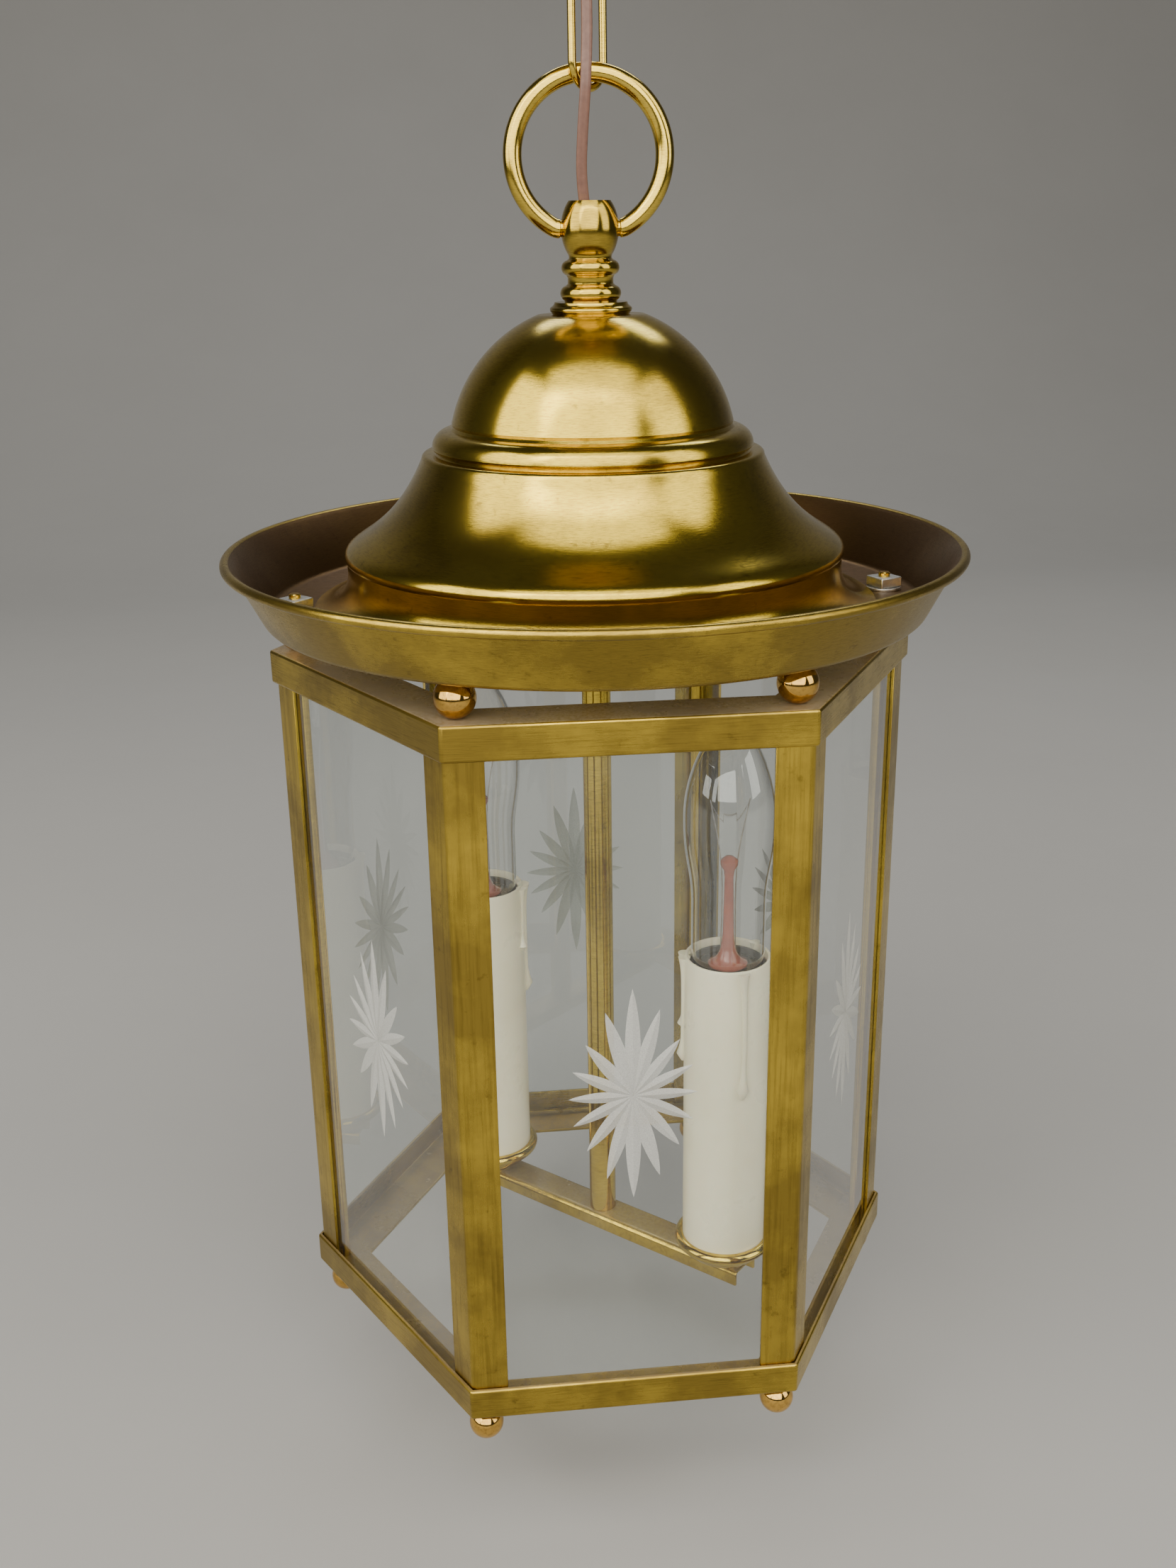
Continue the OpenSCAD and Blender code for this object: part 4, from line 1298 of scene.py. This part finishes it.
@dataclass
class Windows(SubAssembly):
    """The six panes and the star cut in each."""

    body: Body = Body.LANTERN
    outer: float = 0.102
    glass: float = 0.003
    width: float = 0.10818
    low: float = -0.57358
    high: float = -0.31018
    star_z: float = -0.44573
    ridge: float = 0.0005
    first_turn: float = 120.0
    rays: tuple[Point, ...] = (
        (0, 22.5, 4.2), (27, 23.5, 4.4), (52, 26.5, 4.8), (74, 34, 5.2), (90, 41, 5.4), (106, 34, 5.2),
        (128, 26.5, 4.8), (153, 23.5, 4.4), (180, 22.5, 4.2), (207, 23.5, 4.4), (232, 26.5, 4.8), (254, 34, 5.2),
        (270, 41, 5.4), (286, 34, 5.2), (308, 26.5, 4.8), (333, 23.5, 4.4),
    )  # fmt: skip

    def ray(self, name: str, degrees: float, length: float, wide: float) -> Obj:
        """Cuts one leaf-shaped ray with a ridge, lying in X and Z, facing -Y.

        Args:
            name: The ray's name.
            degrees: Its direction.
            length: Its length, in millimetres.
            wide: Its greatest width, in millimetres.

        Returns:
            The ray, about the origin.
        """
        a = math.radians(degrees)
        steps = 12
        halves = []
        for side in (-1, 1):
            rim = []
            for i in range(steps + 1):
                t = i / steps
                swell = math.sin(math.pi * t**0.9) ** 0.8 if 0 < t < 1 else 0.0
                along, across = t * length / 1000, side * swell * wide / 2000
                x = along * math.cos(a) - across * math.sin(a)
                z = along * math.sin(a) + across * math.cos(a)
                rim.append((x, 0.0, z))
            half = outline(f"{name}_{side}", rim)
            bpy.ops.mesh.select_all(action="SELECT")
            bpy.ops.mesh.extrude_region_move(TRANSFORM_OT_translate={"value": (0, -self.ridge, 0)})
            bpy.ops.object.mode_set(mode="OBJECT")
            for v in half.data.vertices:
                if v.co.y < -0.0001:
                    t = (v.co.x * math.cos(a) + v.co.z * math.sin(a)) * 1000 / length
                    t = min(max(t, 0.0), 1.0)
                    rise = -self.ridge * min(1.0, 5 * t * (1 - t) + 0.05)
                    v.co = (t * length / 1000 * math.cos(a), rise, t * length / 1000 * math.sin(a))
            halves.append(half)
        return joined(name, halves)

    def star(self) -> Obj:
        """Makes one star out of its sixteen rays.

        Returns:
            The star, on the outside of the front pane.
        """
        star = joined("star_blank", [self.ray(f"ray_{i}", *r) for i, r in enumerate(self.rays)])
        only(star)
        bpy.ops.object.mode_set(mode="EDIT")
        tidy_mesh()
        bpy.ops.object.shade_flat()
        star.data.transform(Matrix.Translation((0, -self.outer - 0.00002, self.star_z)))
        return star

    def panes(self) -> None:
        """Makes the pane and the star once each and copies them to the six sides."""
        only(None)
        bpy.ops.mesh.primitive_cube_add(
            size=1.0,
            location=(0, -self.outer + self.glass / 2, (self.low + self.high) / 2),
            scale=(self.width, self.glass, self.high - self.low),
        )
        pane = bpy.context.object
        settle(pane)
        bevelled(pane, 0.0003, 2, 60.0)
        star = self.star()
        for n in range(6):
            turn = 60 * n + self.first_turn
            piece = turned_copy(pane, f"pane_{n + 1}", turn)
            self.fit(piece, Finish.PANE, "clear_glass", f"glass_panel_{n + 1}")
            self.fit(turned_copy(star, f"cut_star_{n + 1}", turn), Finish.STAR, "clear_glass")
        bpy.data.objects.remove(pane)
        bpy.data.objects.remove(star)


@dataclass
class StemAndBar(SubAssembly):
    """The tube down the middle, the crossbar it carries, and what is under the bar."""

    body: Body = Body.LANTERN
    bar_z: float = BAR_Z
    under_z: float = -0.29533
    tube_r: float = 0.0055
    bar_w: float = 0.0152
    bar_h: float = 0.0064
    bar_l: float = 0.142
    bar_t: float = SHEET
    turn: float = BAR_TURN
    candle_at: float = CANDLE_AT

    def stem(self) -> None:
        """Makes the tube that covers the pipe."""
        r, low, high = self.tube_r, self.bar_z, self.under_z
        profile = [(PIPE_BORE, low), (r - 0.0002, low), (r, low + 0.0002), (r, high), (PIPE_BORE, high)]
        self.fit(lathed("stem_cover", profile, steps=64), Finish.BRIGHT, "bright_brass", "stem_tube")

    def bar(self) -> None:
        """Bends the crossbar, a channel with rounded top edges and rolled lower edges."""
        half, t, h, r, q = self.bar_w / 2, self.bar_t, self.bar_h, 0.0024, 0.0005
        shape = [(half, -h)] + bow((half - r, -r), r, 0, 90, 6) + bow((r - half, -r), r, 90, 180, 6)
        shape += [(-half, -h), (t - half, -h)] + bow((t + q - half, -t - q), q, 180, 90, 3)
        shape += bow((half - t - q, -t - q), q, 90, 0, 3) + [(half - t, -h)]
        bar = prism("crossbar_channel", shape, -self.bar_l / 2, self.bar_l / 2)
        upright = Matrix(((0, 0, 1, 0), (1, 0, 0, 0), (0, 1, 0, 0), (0, 0, 0, 1)))
        place = Matrix.Translation((0, 0, self.bar_z)) @ Matrix.Rotation(math.radians(self.turn), 4, "Z")
        bar.data.transform(place @ upright)
        bevelled(bar, 0.00025, 2, 50.0)
        self.fit(settle(bar, 38.0), Finish.BAR, "aged_brass", "crossbar")

    def under_bar(self) -> None:
        """Makes the nuts under the bar and dresses the pipes and the leads that show from below."""
        z = self.bar_z - self.bar_t - HEX_NUT_H
        self.fit(hex_nut("pipe_hex", (0, 0, z), self.turn), Finish.ZINC, "zinc", "pipe_nut")
        pair = [
            hex_nut(f"nipple_hex_{side}", polar(side * self.candle_at, self.turn, z), self.turn) for side in (1, -1)
        ]
        self.fit(joined("nipple_hexes", pair), Finish.ZINC, "zinc", "nipple_nuts")
        dress("stem_pipe", Finish.PIPE)
        dress("socket_nipples", Finish.PIPE)
        dress("socket_leads", Finish.LEAD)


@dataclass
class CandleLight(SubAssembly):
    """One light: cup, sleeve with its wax drips, socket, and bulb."""

    body: Body = Body.LANTERN
    side: str = "right"
    bar_z: float = BAR_Z
    turn: float = BAR_TURN
    out: float = CANDLE_AT
    cup_h: float = 0.0113
    lip_r: float = 0.0196
    sleeve_r: float = 0.0165
    sleeve_t: float = 0.0015
    sleeve_l: float = 0.1236
    socket_drop: float = 0.0026
    socket_depth: float = 0.027
    drips: tuple[Point, ...] = ()

    def axis(self, z: float) -> Point:
        """Gives the point on the light's axis at a height."""
        return polar(self.out, self.turn + (0 if self.side == "right" else 180), z)

    def cup(self) -> None:
        """Turns the cup with its rolled lip."""
        r, h, lip = self.lip_r, self.cup_h, 0.0022
        profile = [(PIPE_BORE, 0), (0.0095, 0), (0.0097, 0.0008), (0.0095, 0.0014), (0.013, 0.0032)]
        profile += flow((0.0146, 0.004), (0.0156, 0.0048), (0.016, 0.0058), (0.0162, 0.007), 6)
        profile += bow((r - lip, h - 0.0015), lip, -120, 100, 16)
        profile += [(self.sleeve_r + 0.0002, h + 0.0006), (self.sleeve_r + 0.0002, h), (PIPE_BORE, h)]
        cup = lathed(f"cup_{self.side}", profile, self.axis(self.bar_z), 80)
        self.fit(cup, Finish.BRIGHT, "bright_brass", f"candle_cup_{self.side}")

    def sleeve(self) -> None:
        """Makes the ivory sleeve with a soft mouth, and runs its drips down it."""
        r, t, h = self.sleeve_r, self.sleeve_t, self.sleeve_l
        z = self.bar_z + self.cup_h
        profile = [(r - t, 0), (r, 0), (r, h - 0.0008), (r - 0.0003, h - 0.0002), (r - t / 2, h)]
        profile += [(r - t + 0.0003, h - 0.0002), (r - t, h - 0.0008)]
        parts = [lathed(f"sleeve_{self.side}", profile, self.axis(z), 80)]
        for i, (where, length, fat) in enumerate(self.drips):
            a = math.radians(where)
            route, widths = [], []
            for k in range(15):
                s = k / 14
                sway = math.radians(3.0 * math.sin(3 * s + i))
                x = (r + 0.0001 + 0.0003 * s) * math.cos(a + sway)
                y = (r + 0.0001 + 0.0003 * s) * math.sin(a + sway)
                base = self.axis(z + h - 0.0006 - s * length)
                route.append((base[0] + x, base[1] + y, base[2]))
                drop = math.exp(-(((s - 0.93) / 0.07) ** 2))
                flare = math.exp(-s * 9)
                widths.append(0.55 + 0.95 * drop + 0.9 * flare if k < 14 else 0.35)
            parts.append(drawn_wire(f"drip_{self.side}_{i}", route, fat, widths, sides=5))
        self.fit(joined(f"sleeve_{self.side}_card", parts), Finish.IVORY, "ivory_card", f"candle_sleeve_{self.side}")

    def socket(self) -> None:
        """Makes the dark socket, with the brass thread showing in its mouth."""
        seat = self.bar_z + self.cup_h
        top = self.sleeve_l - self.socket_drop
        floor = top - self.socket_depth
        neck, r, bore, shoulder = 0.009, 0.0144, 0.0134, 0.033
        profile = [(PIPE_BORE, 0), (neck, 0), (neck, shoulder), (r, shoulder), (r, top - 0.0004), (r - 0.0003, top)]
        profile += [(bore + 0.0002, top), (bore, top - 0.0003), (bore, floor), (PIPE_BORE, floor)]
        socket = lathed(f"socket_{self.side}", profile, self.axis(seat), 64)
        self.fit(socket, Finish.PHENOLIC, "black_phenolic", f"lamp_socket_{self.side}")

    def bulb(self) -> None:
        """Makes the bulb: threaded cap, blown glass, and the mount with its filament."""
        body = Body.BULB_RIGHT if self.side == "right" else Body.BULB_LEFT
        foot = self.bar_z + self.cup_h + self.sleeve_l - self.socket_drop - self.socket_depth + 0.0012
        cap = [(0.0, -0.0006), (0.0044, -0.0006), (0.0046, 0.0006), (0.0086, 0.0022), (0.0118, 0.0044)]
        for i in range(5):
            z = 0.0056 + i * 0.0032
            cap += [(0.0124, z), (0.0130, z + 0.0012), (0.0130, z + 0.0019)]
        cap += [(0.0126, 0.0216), (0.0128, 0.0238), (0.0118, 0.024), (0.0, 0.0236)]
        self.fit(
            lathed(f"bulb_cap_{self.side}", cap, self.axis(foot), 56, closed=False),
            Finish.CAP, "bulb_cap", f"bulb_base_{self.side}", body=body,
        )  # fmt: skip
        neck, wide, tall = 0.014, 0.0172, 0.098
        glass = flow((0.0119, 0.0), (0.0125, 0.002), (neck, 0.003), (neck, 0.008), 8)
        glass += flow((neck, 0.26 * tall), (neck, 0.4 * tall), (wide, 0.44 * tall), (wide, 0.6 * tall), 18)
        glass += flow((wide, 0.62 * tall), (wide, 0.78 * tall), (0.009, 0.95 * tall), (0.002, 0.995 * tall), 22)
        glass += [(0.0, tall)]
        base = foot + 0.024
        self.fit(
            lathed(f"bulb_glass_{self.side}_blown", [(0.0, 0.0)] + glass, self.axis(base), 72, closed=False),
            Finish.BULB, "bulb_glass", f"bulb_glass_{self.side}", body=body,
        )  # fmt: skip
        stem = [(0.0, 0.0006), (0.0075, 0.0006), (0.0075, 0.0012)]
        stem += flow((0.0062, 0.002), (0.003, 0.004), (0.0024, 0.008), (0.0021, 0.014), 8)
        stem += [(0.0017, 0.036), (0.0021, 0.039), (0.0033, 0.0412), (0.0034, 0.0428), (0.0016, 0.0444), (0.0, 0.0448)]
        mount = lathed(f"bulb_stem_{self.side}", stem, self.axis(base), 32, closed=False)
        mount.data.materials.append(Finish.ROSE_GLASS.material())
        wires = [mount]
        for s in (-1, 1):
            ends = (self.axis(base + 0.004), self.axis(base + 0.04), self.axis(base + 0.067))
            lead = [(p[0] + s * d, p[1], p[2]) for p, d in zip(ends, (0.0028, 0.0029, 0.0074))]
            wires.append(drawn_wire(f"support_{self.side}_{s}", softened(lead, 5), 0.00022, sides=3))
        coil = []
        middle = self.axis(base + 0.066)
        for k in range(161):
            t = k / 160
            w = math.tau * 26 * t
            x = -0.0074 + 0.0148 * t
            sag = 0.009 * math.sin(math.pi * t) * (1 if math.sin(3 * math.pi * t) > 0 else 0.6)
            coil.append((middle[0] + x, middle[1] + 0.00035 * math.cos(w), middle[2] - sag + 0.00035 * math.sin(w)))
        wires.append(drawn_wire(f"filament_{self.side}", coil, 0.00009, sides=1))
        for wire in wires[1:]:
            wire.data.materials.append(Finish.WIRE.material())
        mount_set = joined(f"bulb_mount_{self.side}_set", wires)
        self.fit(mount_set, Finish.WIRE, "lamp_mount", f"bulb_mount_{self.side}", body=body)


@dataclass
class Studio:
    """The camera, the lamps and the floor."""

    eye: Point = (-0.06232, -0.57979, -0.16043)
    right: Point = (0.99428, -0.10583, -0.01465)
    up: Point = (0.04912, 0.33105, 0.94233)
    ahead: Point = (0.09488, 0.93766, -0.33435)
    sensor: float = 36.0
    lens: float = 36.52486
    floor_z: float = -0.64

    def camera(self) -> None:
        """Sets up the camera."""
        data = bpy.data.cameras.new("camera")
        data.sensor_fit = "VERTICAL"
        data.sensor_height = self.sensor
        data.lens = self.lens
        data.clip_start = 0.01
        data.clip_end = 50.0
        camera = bpy.data.objects.new("camera", data)
        bpy.context.scene.collection.objects.link(camera)
        back = -Vector(self.ahead)
        turn = Matrix((self.right, self.up, back)).transposed().to_4x4()
        camera.matrix_world = Matrix.Translation(self.eye) @ turn
        bpy.context.scene.camera = camera

    def lamp(self, name: str, place: Point, aim: Point, size: Pair, power: float, tint: Colour) -> None:
        """Adds one soft box.

        Args:
            name: The lamp's name.
            place: Where it stands.
            aim: What it faces.
            size: Its width and height.
            power: Its power, in watts.
            tint: Its colour.
        """
        data = bpy.data.lights.new(name, "AREA")
        data.shape = "RECTANGLE"
        data.size, data.size_y = size
        data.energy = power
        data.color = tint
        lamp = bpy.data.objects.new(name, data)
        bpy.context.scene.collection.objects.link(lamp)
        lamp.location = place
        lamp.rotation_euler = (Vector(aim) - Vector(place)).to_track_quat("-Z", "Y").to_euler()

    def set_up(self) -> None:
        """Lights the scene and lays the floor."""
        warm, cool, middle = (1.0, 0.96, 0.88), (0.93, 0.97, 1.0), (0, 0, -0.3)
        self.lamp("front_box", (-0.3, -1.8, 0.75), middle, (3.0, 2.2), 84.0, warm)
        self.lamp("left_box", (-1.85, -0.75, 0.7), middle, (1.8, 2.2), 46.0, warm)
        self.lamp("right_box", (1.75, -1.0, 0.7), middle, (1.2, 2.2), 25.0, warm)
        self.lamp("top_box", (-0.1, -1.0, 1.75), middle, (2.4, 1.2), 25.0, warm)
        self.lamp("back_box", (0.3, 1.4, 1.3), (0, 0.3, -0.6), (1.8, 0.5), 12.0, cool)
        world = bpy.data.worlds.new("studio")
        world.use_nodes = True
        background = world.node_tree.nodes["Background"]
        background.inputs["Color"].default_value = (0.60, 0.61, 0.63, 1.0)
        background.inputs["Strength"].default_value = 0.1
        bpy.context.scene.world = world
        sweep = [(-5.0, -3.5, self.floor_z)]
        sweep += [(-5.0, y, z + self.floor_z) for y, z in bow((1.6, 1.6), 1.6, 270, 360, 20)] + [(-5.0, 3.2, 5.0)]
        floor = outline("floor", sweep)
        bpy.ops.mesh.select_all(action="SELECT")
        bpy.ops.mesh.extrude_region_move(TRANSFORM_OT_translate={"value": (10.0, 0, 0)})
        tidy_mesh()
        settle(floor, 60.0)
        floor.data.materials.append(Finish.FLOOR.material())


def main() -> None:
    """Builds the lantern from the ceiling down and lights it."""
    logging.basicConfig(level=logging.INFO, format="%(message)s")
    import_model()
    studio = Studio()
    studio.camera()
    LampCord().stretches()
    fitting = CeilingFitting()
    fitting.canopy()
    fitting.loop()
    fitting.hidden_parts()
    Chain().links()
    HangingRing().ring()
    finial = Finial()
    finial.turned_ball()
    finial.check_ring()
    cover = Cover()
    cover.dome()
    cover.saucer()
    cover.nuts()
    cage = Cage()
    cage.frames()
    cage.posts()
    cage.rods_and_balls()
    Windows().panes()
    stem = StemAndBar()
    stem.stem()
    stem.bar()
    stem.under_bar()
    for side, drips in (
        ("right", ((-80, 0.053, 0.0016), (160, 0.033, 0.0017), (174, 0.045, 0.0016), (40, 0.038, 0.0015))),
        ("left", ((-3, 0.05, 0.0018), (-24, 0.028, 0.0015), (110, 0.04, 0.0016))),
    ):
        light = CandleLight(side=side, drips=drips)
        light.cup()
        light.sleeve()
        light.socket()
        light.bulb()
    studio.set_up()


if __name__ == "__main__":
    main()
